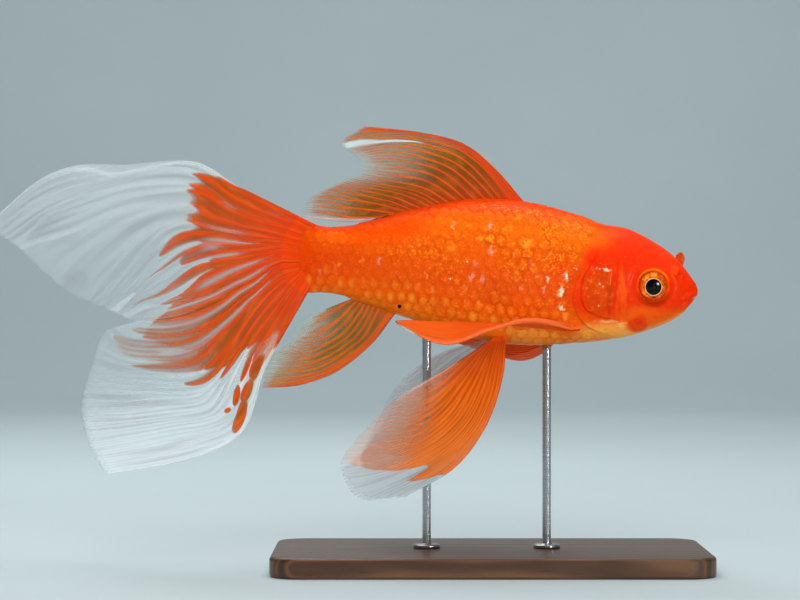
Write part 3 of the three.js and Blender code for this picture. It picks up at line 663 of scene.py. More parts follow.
# For each kind of fin: how many bony rays it holds, where they fork, how wide a ray is at the root and at
# the edge as a share of the room it has, the fin's thickness at its root and edge, how much a ray stands
# out, how far the spine at the front stands out, and how fleshy and how long the root is.
KIND_PARTS = ("rays", "forks", "width", "thick", "ridge", "spine", "flesh")
FIN_KINDS = {name: dict(zip(KIND_PARTS, values)) for name, *values in (
    ("tail", 20, (0.2, 0.42, 0.68), (0.24, 0.09), (1.3, 0.3), 0.11, 0.4, (2.3, 0.07)),
    ("dorsal", 17, (0.38, 0.66), (0.13, 0.09), (1.1, 0.3), 0.14, 0.7, (0.8, 0.06)),
    ("anal", 8, (0.3, 0.5, 0.76), (0.24, 0.1), (1.1, 0.3), 0.16, 0.5, (0.8, 0.06)),
    ("pelvic", 11, (0.18, 0.4, 0.7), (0.16, 0.09), (1.2, 0.3), 0.1, 0.6, (1.0, 0.06)),
    ("pectoral", 13, (0.35, 0.62), (0.16, 0.1), (1.2, 0.35), 0.14, 0.9, (0.8, 0.06)),
)}
FORK_LENGTH = 0.3
FORK_SCATTER = 0.14
LOBES_PART = 8.5 / 14  # the ray along which the tail's two lobes part
PARTING = 0.014  # how far each lobe draws back from the other at the margin
RIM = 0.35  # width of the rounded rim, in millimetres
NOTCHES = 0.055  # how deep the margin's notches are
NOTCH_DRAWS = 400  # random notches drawn for every fin, more than any has steps
SPINE_AT, SPINE_WIDTH = 0.5, 0.7  # the front spine's middle behind the leading edge, and its half width
JAGS = 3  # random corners to a bony ray along the pigment's ragged end
RAY_LEAD = 0.6  # how much further the pigment runs along a ray, as a share of that raggedness
RAY_FILM = 0.35  # where the ray's height leaves the film's opacity as it is
# How much of each fin, as a share of its length, goes on inside the body.
INSIDE = {"pectoral": 0.035, "pelvic": 0.035, "tail": 0.07, "dorsal": 0.07, "anal": 0.07}
ALL = (0.0, 1.0)  # from a fin's first ray to its last
# Each fin: its name, node, kind, guide rays, first and last ray, mesh steps, and how much of its orange
# reaches the trailing edge.
FINS = [
    ("dorsal_fin_membrane", "dorsal_fin", "dorsal", DORSAL_FIN, ALL, (340, 100), 1.0),
    ("upper_tail_membrane", "tail_fin_upper", "tail", TAIL_FIN, (0.0, LOBES_PART), (360, 130), 1.0),
    ("lower_tail_membrane", "tail_fin_lower", "tail", TAIL_FIN, (LOBES_PART, 1.0), (320, 130), 1.0),
    ("anal_fin_membrane", "anal_fin", "anal", ANAL_FIN, ALL, (220, 80), 1.0),
    ("right_pelvic_membrane", "pelvic_fin_right", "pelvic", PELVIC_FIN_RIGHT, ALL, (280, 110), 1.0),
    ("left_pelvic_membrane", "pelvic_fin_left", "pelvic", PELVIC_FIN_LEFT, ALL, (280, 110), 0.15),
    ("right_pectoral_membrane", "pectoral_fin_right", "pectoral", PECTORAL_FIN_RIGHT, ALL, (200, 110), 1.0),
    ("left_pectoral_membrane", "pectoral_fin_left", "pectoral", PECTORAL_FIN_LEFT, ALL, (200, 110), 1.0),
]

# Markings, by their place across (u) and along (v) the fin:
# pigment: where the orange ends along the fin, as (u, v), and soft: how softly
# ragged: how uneven that end is, and lined: how much the far pigment keeps to the rays
# film: where its dense part ends, as (u, v), and opacity: how opaque it is (dense, thin)
# bare: how opaque it is without pigment, as (u, opacity)
# fade: where it starts to thin towards the margin, as (u, v), and by how much
# strokes: brush-like streaks of pigment, as (u, v) of the tip, half width in rays, strength
# gaps: clear slits between streaks, as (u, v) of a point on one, its first and last v, half width, strength
# spots: (u, v, half width, half length, lean), strength 1
# bands: pale lines, as a strength and a list of (v, u, half width)
# lead: how wide the thick leading band is, as (v, width)
NO_MARKS = {"strokes": [], "gaps": [], "spots": [], "bands": []}
FIN_MARKS = {
    "tail": {
        "pigment": [
            (0, 0.25), (0.01, 0.3), (0.025, 0.35), (0.05, 0.335), (0.08, 0.31), (0.13, 0.315), (0.15, 0.28),
            (0.18, 0.285), (0.205, 0.27), (0.215, 0.25), (0.265, 0.27), (0.29, 0.3), (0.31, 0.24),
            (0.33, 0.2), (0.35, 0.22), (0.38, 0.26), (0.42, 0.24), (0.45, 0.21), (0.48, 0.27), (0.5, 0.34),
            (0.52, 0.46), (0.56, 0.55), (0.6, 0.66), (0.64, 0.7), (0.68, 0.6), (0.72, 0.48), (0.775, 0.45),
            (0.79, 0.28), (0.8, 0.25), (0.83, 0.2), (0.86, 0.17), (0.9, 0.165), (0.93, 0.185), (1, 0.2),
        ],
        "soft": 0.016, "ragged": 0.035, "lined": 0.55,
        "film": [(0, 0.5), (0.25, 0.46), (0.4, 0.42), (0.5, 0.44), (0.6, 0.48), (0.7, 0.54), (0.78, 0.7),
                 (1, 0.7)],
        "opacity": (0.98, 0.6), "fade": ([(0, 0.975), (1, 0.975)], 0.5),
        "bare": [(0, 0.34), (0.05, 0.27), (0.2, 0.23), (0.4, 0.18), (0.55, 0.17), (0.7, 0.22), (0.78, 0.38),
                 (0.85, 0.62), (1, 0.7)],
        "strokes": [
            (0.352, 0.46, 0.4, 1), (0.412, 0.39, 0.75, 1), (0.447, 0.88, 0.28, 1), (0.513, 0.64, 0.55, 0.9),
            (0.535, 0.85, 0.3, 0.5), (0.6, 0.8, 0.4, 0.8), (0.62, 0.92, 0.5, 0.7), (0.655, 0.88, 0.45, 0.7),
            (0.7, 0.74, 0.2, 0.8), (0.715, 0.8, 0.3, 1), (0.778, 0.6, 0.25, 1), (0.795, 0.45, 0.5, 1),
            (0.84, 0.37, 0.2, 0.9), (0.425, 0.8, 0.12, 0.8), (0.815, 0.3, 0.1, 0.7), (0.85, 0.29, 0.35, 0.5),
            (0.9, 0.27, 0.3, 0.3),
        ],
        "gaps": [
            (0.225, 0.15, 0.08, 0.27, 0.26, 0.7), (0.292, 0.15, 0.05, 0.28, 0.3, 0.8),
            (0.33, 0.22, 0.16, 0.3, 0.4, 1), (0.4, 0.2, 0.1, 0.4, 0.24, 0.8),
            (0.475, 0.14, 0.03, 0.4, 0.3, 0.7),
            (0.557, 0.15, 0.02, 0.78, 0.18, 1), (0.603, 0.15, 0.03, 0.75, 0.15, 0.9),
            (0.648, 0.15, 0.04, 0.7, 0.14, 0.8), (0.7, 0.4, 0.15, 0.7, 0.12, 0.8),
            (0.757, 0.55, 0.48, 0.75, 0.2, 1), (0.105, 0.21, 0.15, 0.26, 0.18, 0.8),
            (0.06, 0.08, 0.03, 0.13, 0.2, 0.4),
        ],
        "spots": [
            (0.89, 0.385, 0.023, 0.052, 0), (0.864, 0.44, 0.013, 0.038, 0.38),
            (0.935, 0.48, 0.032, 0.062, 0.5), (0.882, 0.515, 0.007, 0.015, 0),
            (0.84, 0.33, 0.009, 0.05, 0.1), (0.88, 0.285, 0.03, 0.055, 0),
        ],
        # The pale lines out at the margin, from u 0.08 to 0.5, are painted highlights along the fin's folds;
        # the first and the last follow its edges.
        "bands": [
            (0.6, [(0.25, 0, 0.005), (0.35, 0, 0.008), (0.45, 0.012, 0.008), (0.55, 0.028, 0.007),
                   (0.62, 0.032, 0.006), (0.75, 0.008, 0.008), (1, 0, 0.008)]),
            (0.4, [(0.62, 0.08, 0.002), (0.75, 0.12, 0.005), (0.85, 0.15, 0.006), (1, 0.19, 0.01)]),
            (0.5, [(0.6, 0.2, 0.002), (0.75, 0.19, 0.009), (0.92, 0.19, 0.009), (1, 0.195, 0.01)]),
            (0.6, [(0.75, 0.427, 0.004), (1, 0.425, 0.01)]),
            (0.5, [(0.68, 0.5, 0.003), (0.8, 0.475, 0.01), (1, 0.45, 0.014)]),
            (0.5, [(0.3, 1, 0.01), (1, 1, 0.008)]),
        ],
        "lead": [(0, 0), (1, 0)],
    },
    "dorsal": {
        "pigment": [(0, 1.3), (0.1, 1.2), (0.14, 1.1), (0.2, 1.05), (0.3, 1), (0.38, 0.86), (0.5, 0.76),
                    (0.6, 0.76), (0.7, 0.88), (0.8, 0.98), (0.9, 0.98), (1, 0.85)],
        "soft": 0.26, "ragged": 0.12, "lined": 0.2,
        "film": [(0, 1.1), (0.2, 0.7), (0.5, 0.4), (0.75, 0.7), (1, 0.7)],
        "opacity": (0.985, 0.74), "fade": ([(0, 0.97), (0.24, 0.97), (0.32, 0.86), (1, 0.82)], 0.6),
        "bare": [(0, 0.4), (0.4, 0.28), (1, 0.26)],
        "bands": [
            (0.9, [(0.6, 0.165, 0.002), (0.65, 0.175, 0.009), (0.7, 0.198, 0.014), (0.76, 0.21, 0.016),
                   (0.82, 0.212, 0.02), (0.87, 0.2, 0.032), (0.92, 0.185, 0.042), (1, 0.2, 0.04)]),
            (0.4, [(0.05, 0, 0.005), (0.5, 0, 0.004)]), (0.5, [(0.15, 0.992, 0.012), (0.97, 0.992, 0.012)]),
        ],
        "lead": [(0, 0.19), (0.1, 0.15), (0.3, 0.11), (0.45, 0.09), (0.6, 0.08), (0.75, 0.06), (1, 0.04)],
    },
    "anal": {
        "pigment": [(0, 1.1), (0.1, 1), (0.2, 0.9), (0.3, 0.82), (0.5, 0.7), (0.7, 0.6), (0.9, 0.54),
                    (1, 0.5)],
        "soft": 0.26, "ragged": 0.1, "lined": 0.2,
        "film": [(0, 1), (0.5, 0.4), (1, 0.3)],
        "opacity": (0.97, 0.72), "fade": ([(0, 0.95), (0.3, 0.85), (1, 0.8)], 0.6),
        "bare": [(0, 0.5), (1, 0.4)],
        "bands": [
            (0.5, [(0.35, 0.985, 0.015), (0.8, 0.985, 0.015)]), (0.5, [(0.1, 0, 0.008), (0.7, 0, 0.008)]),
        ],
        "lead": [(0, 0.16), (0.15, 0.15), (0.3, 0.12), (0.7, 0.1), (0.8, 0.07), (1, 0.02)],
    },
    "pelvic": {
        "pigment": [
            (0, 0.79), (0.05, 0.8), (0.1, 0.83), (0.15, 0.85), (0.2, 0.85), (0.207, 0.75), (0.23, 0.745),
            (0.26, 0.75), (0.3, 0.78), (0.35, 0.81), (0.4, 0.83), (0.45, 0.86), (0.5, 0.89), (0.55, 0.92),
            (0.62, 0.96), (0.7, 1), (0.75, 1.05), (1, 1.1),
        ],
        "soft": 0.01, "ragged": 0.008, "lined": 0.0,
        "film": [(0, 1.2), (0.3, 1), (0.4, 0.8), (0.5, 0.66), (0.6, 0.56), (0.8, 0.5), (1, 0.44)],
        "opacity": (0.95, 0.46), "fade": ([(0, 0.975), (0.6, 0.975), (0.75, 0.72), (1, 0.7)], 0.6),
        "bare": [(0, 0.96), (0.55, 0.95), (0.75, 0.55), (1, 0.5)],
        "bands": [
            (0.5, [(0.85, 0.52, 0.003), (1, 0.68, 0.008)]), (0.45, [(0.3, 0.985, 0.01), (0.9, 0.985, 0.01)]),
            (0.4, [(0.5, 0, 0.006), (1, 0, 0.006)]),
        ],
        "lead": [(0, 0.05), (0.3, 0.03), (1, 0.02)],
    },
    "pectoral": {
        "pigment": [(0, 0.92), (0.1, 0.94), (0.3, 0.98), (0.5, 1.1), (1, 1.1)],
        "soft": 0.012, "ragged": 0.01, "lined": 0.0,
        "film": [(0, 1.1), (1, 1.1)],
        "opacity": (0.99, 0.8), "fade": ([(0, 0.975), (1, 0.975)], 0.5),
        "bare": [(0, 0.6), (1, 0.6)],
        "lead": [(0, 0.36), (0.3, 0.34), (0.45, 0.26), (0.6, 0.14), (1, 0.07)],
    },
}


def ray_place(kind_name, r, v):
    """Where across the guide lines the ray numbered r (0 to 1) runs at each v along the fin."""
    count = len(PATH_STATIONS)
    paths = np.array([(0.0,) * count] + RAY_PATHS[kind_name] + [(1.0,) * count])
    along = np.stack([smooth_curve(PATH_STATIONS, path.copy())(np.clip(v, 0, 1)) for path in paths])
    place = np.clip(spline_weights(len(paths), r) @ along, 0.0, 1.0)
    return np.maximum.accumulate(place, axis=0)


def chance_line(at, count):
    """A jagged random line between 0 and 1 with count corners."""
    return np.interp(at * count, np.arange(count + 2), rng.uniform(0, 1, count + 2))


def ray_height(r, v, kind):
    """1 on the crest of a bony ray and 0 between rays. Each ray forks in two, more than once."""
    number = np.floor(r * kind["rays"]).astype(int)
    offset = np.abs(r * kind["rays"] - number - 0.5)
    for level, fork in enumerate(kind["forks"]):
        start = fork + FORK_SCATTER * (rng.uniform(0, 1, kind["rays"] + 1)[number] - 0.5)
        offset = np.abs(offset - 0.25 / 2**level * ease(v, start, start + FORK_LENGTH))
    width = kind["width"][0] + (kind["width"][1] - kind["width"][0]) * ease(v, 0.0, 1.0)
    return bell(offset, width)


def line_value(points, at):
    places, values = np.array(points, float).T
    return np.interp(at, places, values)


def ray_at(kind_name, u, v):
    """The ray that passes through a place on the fin."""
    rays = np.linspace(0, 1, 400)
    return float(np.interp(u, ray_place(kind_name, rays, np.array([v]))[:, 0], rays))


def fin_markings(kind_name, r, u, v, ray, tinted):
    """For each point of a fin: how orange, how opaque and how white it is, and if it is the leading band."""
    kind, marks = FIN_KINDS[kind_name], NO_MARKS | FIN_MARKS[kind_name]
    soft = marks["soft"]
    jagged = chance_line(r, JAGS * kind["rays"]) - 0.5 + RAY_LEAD * (ray - 0.5)
    end = line_value(marks["pigment"], u) + marks["ragged"] * jagged
    pigment = ease(end - v, -soft, soft)
    for tip_u, tip_v, half, strength in marks["strokes"]:
        away = np.abs(r - ray_at(kind_name, tip_u, tip_v)) * kind["rays"]
        room = 1.25 * half * np.sqrt(np.clip(1 - (v / tip_v) ** 3, 0, 1))
        stroke = strength * (1 - 0.15 * ease(v, 0.5 * tip_v, tip_v)) * ease(room - away, -0.1, 0.14)
        pigment = np.maximum(pigment, stroke * (v < tip_v))
    pigment = pigment * (1 - marks["lined"] * (1 - ray) * ease(v, 0.35, 0.65))
    clear = np.zeros_like(pigment)
    for at_u, at_v, start, stop, half, strength in marks["gaps"]:
        away = np.abs(r - ray_at(kind_name, at_u, at_v)) * kind["rays"]
        within = ease(v, start, start + 0.08) * ease(-v, -stop, 0.1 - stop)
        clear = np.maximum(clear, strength * within * bell(away, half))
    dotted = np.zeros_like(pigment)
    for at_u, at_v, half, length, lean in marks["spots"]:
        across, along = u - at_u - lean * (v - at_v), v - at_v
        away = np.hypot(across / half, along / length)
        dotted = np.maximum(dotted, ease(-away, -1.2, -0.75))
    pigment = np.maximum(pigment, dotted)
    dense, thin = marks["opacity"]
    full = ease(line_value(marks["film"], u) - v, -0.25, 0.25)
    warm = (thin + (dense - thin) * full) * (1 - 0.4 * clear)
    pale = line_value(marks["bare"], u) * (1 - 0.3 * ease(v, 0.5, 1.0))
    pigment = pigment * (1 - 0.7 * clear) * (1 - (1 - tinted) * ease(u, 0.35, 0.65))
    film = pale + (warm - pale) * pigment
    film = film + (0.9 + 0.3 * (1 - pigment)) * film * (1 - film) * (ray - RAY_FILM)
    white = np.zeros_like(film)
    for strength, points in marks["bands"]:
        stations, middles, halves = np.array(points, float).T
        middle, half = np.interp(v, stations, middles), np.interp(v, stations, halves)
        within = ease(v, stations[0] - 0.01, stations[0] + 0.04) * (v <= stations[-1])
        within = within * ease(half - np.abs(u - middle), -0.6 * half, 0.5 * half)
        white = np.maximum(white, strength * within)
    lead = ease(line_value(marks["lead"], v) - u, -0.015, 0.02) * (marks["lead"][0][1] > 0) * pigment
    film = np.maximum.reduce([film, 0.85 * white, 0.97 * lead, ease(-v, -0.06, 0.0)])
    start, thinner = marks["fade"]
    film = film * (1 - thinner * ease((v - line_value(start, u)) / (1 - line_value(start, u)), 0.0, 1.0))
    pigment = pigment * (0.45 + 0.55 * np.maximum.reduce([full, lead, dotted]))
    return pigment, 1 - np.sqrt(1 - np.clip(film, 0, 0.9999)), white, lead


def make_fin(name, kind_name, guides, span, steps, tinted):
    """A thin closed shell over the fin's rays, thick at its root and rounded at its rim."""
    kind = FIN_KINDS[kind_name]
    across, along = steps
    r = np.linspace(*span, across + 1)
    share = np.linspace(0, 1, along + 1)
    v = -INSIDE[kind_name] + (1 + INSIDE[kind_name]) * share
    rows = spline_weights(guides.shape[1], np.maximum(v, 0))
    start = spline_weights(guides.shape[1], [0.0, 0.02])
    inside = v < 0
    rows[inside] = start[0] + (start[1] - start[0]) * (v[inside] / 0.02)[:, None]
    even = np.linspace(0, 1, 500)
    whole = np.einsum("ia,jb,abk->ijk", spline_weights(len(guides), even), rows, guides)
    if kind_name == "tail":
        lift = smooth_curve(*TAIL_RIPPLE.T.copy())(np.clip(v, 0, 1))
        whole[..., 2] += lift * ease(-even, -RIPPLE_REACH, 0.0)[:, None]
    place = ray_place(kind_name, r, v)
    if span != ALL:
        spread = np.linalg.norm(np.diff(whole, axis=0), axis=-1).sum(axis=0)
        parted = PARTING * ease(v, 0.7, 1.0) - RIM / spread * (1 - ease(v, 0.65, 0.72))
        parted = parted[None, :] * ease(-np.abs(r - LOBES_PART), -0.04, 0.0)[:, None]
        place = place - parted if span[0] == 0.0 else place + parted
    sheet = np.empty((across + 1, along + 1, 3))
    for column in range(along + 1):
        for axis in range(3):
            sheet[:, column, axis] = np.interp(place[:, column], even, whole[:, column, axis])

    notch = np.convolve(rng.normal(0.0, 1.0, NOTCH_DRAWS), np.ones(3) / 3, "same")[: across + 1]
    pull = NOTCHES * np.abs(notch)[:, None, None] * ease(share, 0.8, 1.0)[None, :, None]
    sheet = sheet - pull * (sheet - sheet[:, -20:-19])

    overs, alongs = np.gradient(sheet, axis=0), np.gradient(sheet, axis=1)
    square = np.cross(overs, alongs)
    square /= np.maximum(np.linalg.norm(square, axis=-1, keepdims=True), 1e-9)
    rr, vv = r[:, None] + 0 * v[None, :], np.clip(v, 0, 1)[None, :] + 0 * r[:, None]
    ray = ray_height(rr, vv, kind)
    thick = kind["thick"][0] + (kind["thick"][1] - kind["thick"][0]) * ease(vv, 0.0, 0.55) ** 0.6
    thick += kind["flesh"][0] * bell(vv, kind["flesh"][1])
    half = 0.5 * (thick + kind["ridge"] * (1.2 - vv) * ray)
    width = np.linalg.norm(overs, axis=-1)
    from_lead = np.cumsum(width, axis=0) - width[0]
    half += 0.5 * kind["spine"] * (1 - 0.8 * vv) * bell(from_lead - SPINE_AT, SPINE_WIDTH) * (rr < 0.3)
    from_edge = np.minimum(from_lead, from_lead[-1:] - from_lead)
    to_margin = np.flip(np.cumsum(np.flip(np.linalg.norm(alongs, axis=-1), 1), 1), 1)
    to_margin -= to_margin[:, -1:]
    rim = np.minimum(from_edge, to_margin)
    half *= np.sqrt(np.clip(rim / RIM, 0.0, 1.0))

    top, under = sheet + square * half[..., None], sheet - square * half[..., None]
    n, m = across + 1, along + 1
    inner = np.zeros((n, m), bool)
    inner[1:-1, 1:-1] = True
    top_number = np.arange(n * m).reshape(n, m)
    under_number = top_number.copy()
    under_number[inner] = n * m + np.arange(inner.sum())
    points = np.concatenate([top.reshape(-1, 3), under[inner]])
    flat, pairs = grid_corners(n, m)
    top_quads = top_number.ravel()[flat]
    under_quads = under_number.ravel()[flat][:, ::-1]
    grid_map = np.stack([pairs[..., 0] / across, pairs[..., 1] / along], -1)
    top_map = grid_map * (0.48, 0.98) + (0.01, 0.01)
    under_map = (grid_map * (0.48, 0.98) + (0.51, 0.01))[:, ::-1]
    pigment, film, white, leading = fin_markings(kind_name, rr, place, vv, ray, tinted)
    fan, marks = np.stack([rr, vv, ray], -1), np.stack([pigment, film, white], -1)
    return make_piece(
        name, points, [np.concatenate([top_quads, under_quads])], [np.concatenate([top_map, under_map])],
        {
            "fan": np.concatenate([fan.reshape(-1, 3), fan[inner]]),
            "marks": np.concatenate([marks.reshape(-1, 3), marks[inner]]),
            "leading": np.concatenate([leading.ravel(), leading[inner]]),
        },
    )


# ---------------------------------------------------------------- eyes and nose flaps

EYE_LEAN = 9.0  # degrees that an eye looks forward
EYE_SHIFT = 0.35  # how far an eye is moved out of its socket
EYE_MAP = 18.0  # millimetres across the whole of an eye's bake map


def make_eye(name, side, rings=26, sides=72):
    """A low dome with a full back, turned to look out and a little forward."""
    angle = np.linspace(0, 2 * math.pi, sides, endpoint=False)
    bend = np.linspace(0, math.pi, rings + 1)[1:-1]
    radius = np.sin(bend) * EYE["radius"]
    dome = np.where(np.cos(bend) > 0, EYE["bulge"], EYE["back"]) * np.cos(bend)
    local = np.stack([
        radius[:, None] * np.cos(angle)[None, :],
        dome[:, None] + 0 * angle[None, :],
        radius[:, None] * np.sin(angle)[None, :],
    ], -1)
    iris = np.concatenate([local.reshape(-1, 3), [[0, EYE["bulge"], 0], [0, -EYE["back"], 0]]])
    turn = math.radians(EYE_LEAN)
    x = iris[:, 0] * math.cos(turn) + iris[:, 1] * math.sin(turn)
    y = -iris[:, 0] * math.sin(turn) + iris[:, 1] * math.cos(turn)
    points = np.stack([x, y, iris[:, 2]], -1) + (EYE["x"], EYE["y"] + EYE_SHIFT, EYE["z"])
    points[:, 1] *= side
    quads, _ = grid_corners(len(bend), sides, around=True)
    ends = fan_ends(len(bend), sides)
    centre = np.where(iris[:, 1:2] >= 0, 0.25, 0.75)
    flat = np.concatenate([centre + iris[:, :1] / EYE_MAP, 0.5 + iris[:, 2:] / EYE_MAP], -1)
    return make_piece(name, points, [quads, ends], [flat[quads], flat[ends]], {"iris": iris})


# A flap's half widths from foot to tip, its length, its half thickness, its foot, and how it leans: first to
# the side, then forward.
STANDING_FLAP = {
    "widths": (0.85, 0.9, 1.2, 1.45, 1.4, 0.0), "length": 5.6, "thick": 0.5, "foot": (57.2, 3.6, 89.9),
    "tilt": -14.0, "swing": 6.0,
}
LYING_FLAP = {
    "widths": (1.0, 1.25, 1.3, 1.2, 1.0, 0.0), "length": 4.6, "thick": 0.35, "foot": (55.4, -4.75, 91.4),
    "tilt": 22.0, "swing": 188.0,
}
FLAP_SUNK = 0.5  # how deep a flap's foot lies in the head
FLAP_BOW = 0.35
FLAP_TIP = 0.6  # where a flap starts to round off


def make_nose_flap(name, flap, rings=26, sides=24):
    """A small soft lobe with a round tip."""
    t = np.sin(np.linspace(0, math.pi / 2, rings))
    places = np.linspace(0, 1, len(flap["widths"]))
    closing = np.sqrt(np.clip(1 - ((t - FLAP_TIP) / (1 - FLAP_TIP)).clip(0, 1) ** 2, 0, 1))
    half_width = np.maximum(np.interp(t, places[:-1], flap["widths"][:-1]) * closing, 0.02)
    half_thick = np.minimum(flap["thick"], half_width)
    angle = np.linspace(0, 2 * math.pi, sides, endpoint=False)
    ring = np.stack([
        half_width[:, None] * np.cos(angle), half_thick[:, None] * np.sin(angle),
        (flap["length"] * t - FLAP_SUNK)[:, None] + 0 * angle,
    ], -1)
    ring[..., 1] += FLAP_BOW * np.sin(t * math.pi)[:, None]
    tip = flap["length"] - FLAP_SUNK + 0.02
    points = np.concatenate([ring.reshape(-1, 3), [[0, 0, -FLAP_SUNK], [0, 0, tip]]])
    a, b = math.radians(flap["tilt"]), math.radians(flap["swing"])
    y = points[:, 1] * math.cos(a) - points[:, 2] * math.sin(a)
    z = points[:, 1] * math.sin(a) + points[:, 2] * math.cos(a)
    x, z = points[:, 0] * math.cos(b) + z * math.sin(b), -points[:, 0] * math.sin(b) + z * math.cos(b)
    points = np.stack([x, y, z], -1) + flap["foot"]
    quads, pairs = grid_corners(rings, sides, around=True)
    quad_map = np.stack([pairs[..., 1] / sides, 0.05 + 0.9 * pairs[..., 0] / rings], -1)
    ends = fan_ends(rings, sides)
    ends_map = np.full(ends.shape + (2,), MAP_MARGIN)
    return make_piece(name, points, [quads, ends], [quad_map, ends_map], {
        "place": points.copy(), "girth": np.full(len(points), 0.3),
        "behind_gills": np.full(len(points), -LINE_REACH),
    })


# ---------------------------------------------------------------- stand

BASE = {"x": 130.0, "y": 64.0, "z": 6.0, "corner": 9.0, "bevel": 1.1}
BASE_MAP = 300.0  # millimetres across the whole of the base's bake map
ROD_RADIUS = 1.3
ROD_SUNK = 1.2  # how far a rod goes into the belly
FLANGE = {"radius": 4.0, "height": 1.2, "bevel": 0.25, "fillet": 0.8}
ROD_PLACES = {"stand_rod_front": 17.0, "stand_rod_rear": -19.0}


def make_base(name):
    """A flat board with round corners and a rounded edge top and bottom."""
    corner_steps, edge_steps = 14, 7
    outline = []
    for cx, cy, first in ((1, 1, 0), (-1, 1, 90), (-1, -1, 180), (1, -1, 270)):
        for angle in np.radians(first + np.linspace(0, 90, corner_steps)):
            outline.append((cx, cy, math.cos(angle), math.sin(angle)))
    outline = np.array(outline)
    levels = []
    for first, foot in ((-90, BASE["bevel"]), (0, BASE["z"] - BASE["bevel"])):
        for angle in np.radians(np.linspace(first, first + 90, edge_steps)):
            levels.append((BASE["bevel"] * (1 - math.cos(angle)), foot + BASE["bevel"] * math.sin(angle)))
    rings = []
    for inset, z in levels:
        radius = BASE["corner"] - inset
        x = outline[:, 0] * (BASE["x"] / 2 - BASE["corner"]) + radius * outline[:, 2]
        y = outline[:, 1] * (BASE["y"] / 2 - BASE["corner"]) + radius * outline[:, 3]
        rings.append(np.stack([x, y, np.full_like(x, z)], -1))
    points = np.concatenate(rings)
    rows, columns = len(levels), len(outline)
    quads, pairs = grid_corners(rows, columns, around=True)
    quad_map = np.stack([pairs[..., 1] / columns, 0.9 + 0.1 * pairs[..., 0] / rows], -1)
    low, high = flat_ends(rows, columns)
    flat = points[:, :2] / BASE_MAP
    return make_piece(
        name, points, [quads, low, high], [quad_map, flat[low] + (0.25, 0.2), flat[high] + (0.75, 0.2)],
    )


def make_rod(name, x, sides=64):
    """A turned rod with a flange at its foot. Its top goes a little into the belly."""
    foot, wide, fillet = BASE["z"], FLANGE["radius"], FLANGE["fillet"]
    seat = foot + FLANGE["height"]
    top = float(BOTTOM(from_snout(x))) + ROD_SUNK
    outline = [(wide, foot), (wide, seat - FLANGE["bevel"]), (wide - FLANGE["bevel"], seat)]
    for angle in np.radians(np.linspace(0, 90, 7)):
        outline.append((ROD_RADIUS + fillet * (1 - math.sin(angle)), seat + fillet * (1 - math.cos(angle))))
    outline += [(ROD_RADIUS, z) for z in np.linspace(seat + 2 * fillet, top, 24)]
    outline = np.array(outline)
    angle = np.linspace(0, 2 * math.pi, sides, endpoint=False)
    ring = np.stack([
        x + outline[:, :1] * np.cos(angle), outline[:, :1] * np.sin(angle), outline[:, 1:] + 0 * angle,
    ], -1)
    rows = len(outline)
    quads, pairs = grid_corners(rows, sides, around=True)
    quad_map = np.stack([pairs[..., 1] / sides, MAP_MARGIN + 0.9 * pairs[..., 0] / rows], -1)
    ends_map = np.stack([0.5 + 0.02 * np.cos(angle), 0.96 + 0.02 * np.sin(angle)], -1)[None]
    return make_piece(
        name, ring.reshape(-1, 3), [quads, *flat_ends(rows, sides)], [quad_map, ends_map[:, ::-1], ends_map],
    )


# ---------------------------------------------------------------- materials

SMOOTH = {"interpolation_type": "SMOOTHSTEP"}
COLOURS = {"data_type": "RGBA"}
TIMES = {"operation": "MULTIPLY"}
THROUGH = 1e5  # a half size so long that a spot reaches right through the fish
SIDE_VIEW = (1.0, THROUGH, 1.0)  # measures distances as they are seen from the side
NO_TURN = (0.0, 0.0, 0.0)

# How fine the fish's patterns are, as a number of features to a millimetre.
CLOUDS = 0.09  # drifts of colour 11 mm across
SKIN_MOTTLE = 0.7  # patches 1.4 mm across
SKIN_PORES = 1.8  # 0.55 mm apart, drawn coarser than the real pores so that they show
CHEEK_STREAKS = (0.8, 0.3, 0.2)  # upright, 1.3 mm wide and 5 mm long
THROAT_STREAKS = (0.2, 0.3, 0.9)  # level, 5 mm long and 1.1 mm wide
FLANK_CLOUDS = 0.13  # 8 mm across
SCALE_MOTTLE = 0.7  # 1.4 mm, about half a scale
SCALE_SPECKLE = 1.3  # grains 0.8 mm across, drawn coarser than the real mirror cells so that they show
FRAYING = 0.8  # the ragged edges of the markings, 1.3 mm from tooth to tooth
IRIS_FLAKES = 1.3  # 0.8 mm across
FLAP_VEINS = 0.9  # 1.1 mm apart
# The growth rings of a scale, in radians to its half length: 0.46 mm apart, drawn coarser than the real
# tenth of a millimetre so that they show.
GROWTH_RINGS = 34.0

# How fine the stand's patterns are, as a number of features to a metre.
WALNUT_FIGURE = (7.0, 60.0, 60.0)  # waves of grain 140 mm long and 17 mm wide
WALNUT_BANDS = 1.2  # growth bands 4.4 mm wide, by the size of the figure's waves
WALNUT_PORES = (220.0, 2600.0, 2600.0)  # 4.5 mm long and 0.4 mm wide, twice the real width so that they show
TOOL_RINGS = (60.0, 60.0, 9000.0)  # 0.11 mm apart, drawn coarser than a tool leaves them so that they show
SHEET_MOTTLE = 3.0


def paint(hex_text):
    """A linear colour from an sRGB hex value."""
    parts = [int(hex_text[i : i + 2], 16) / 255 for i in (1, 3, 5)]
    return tuple(c / 12.92 if c <= 0.04045 else ((c + 0.055) / 1.055) ** 2.4 for c in parts) + (1.0,)


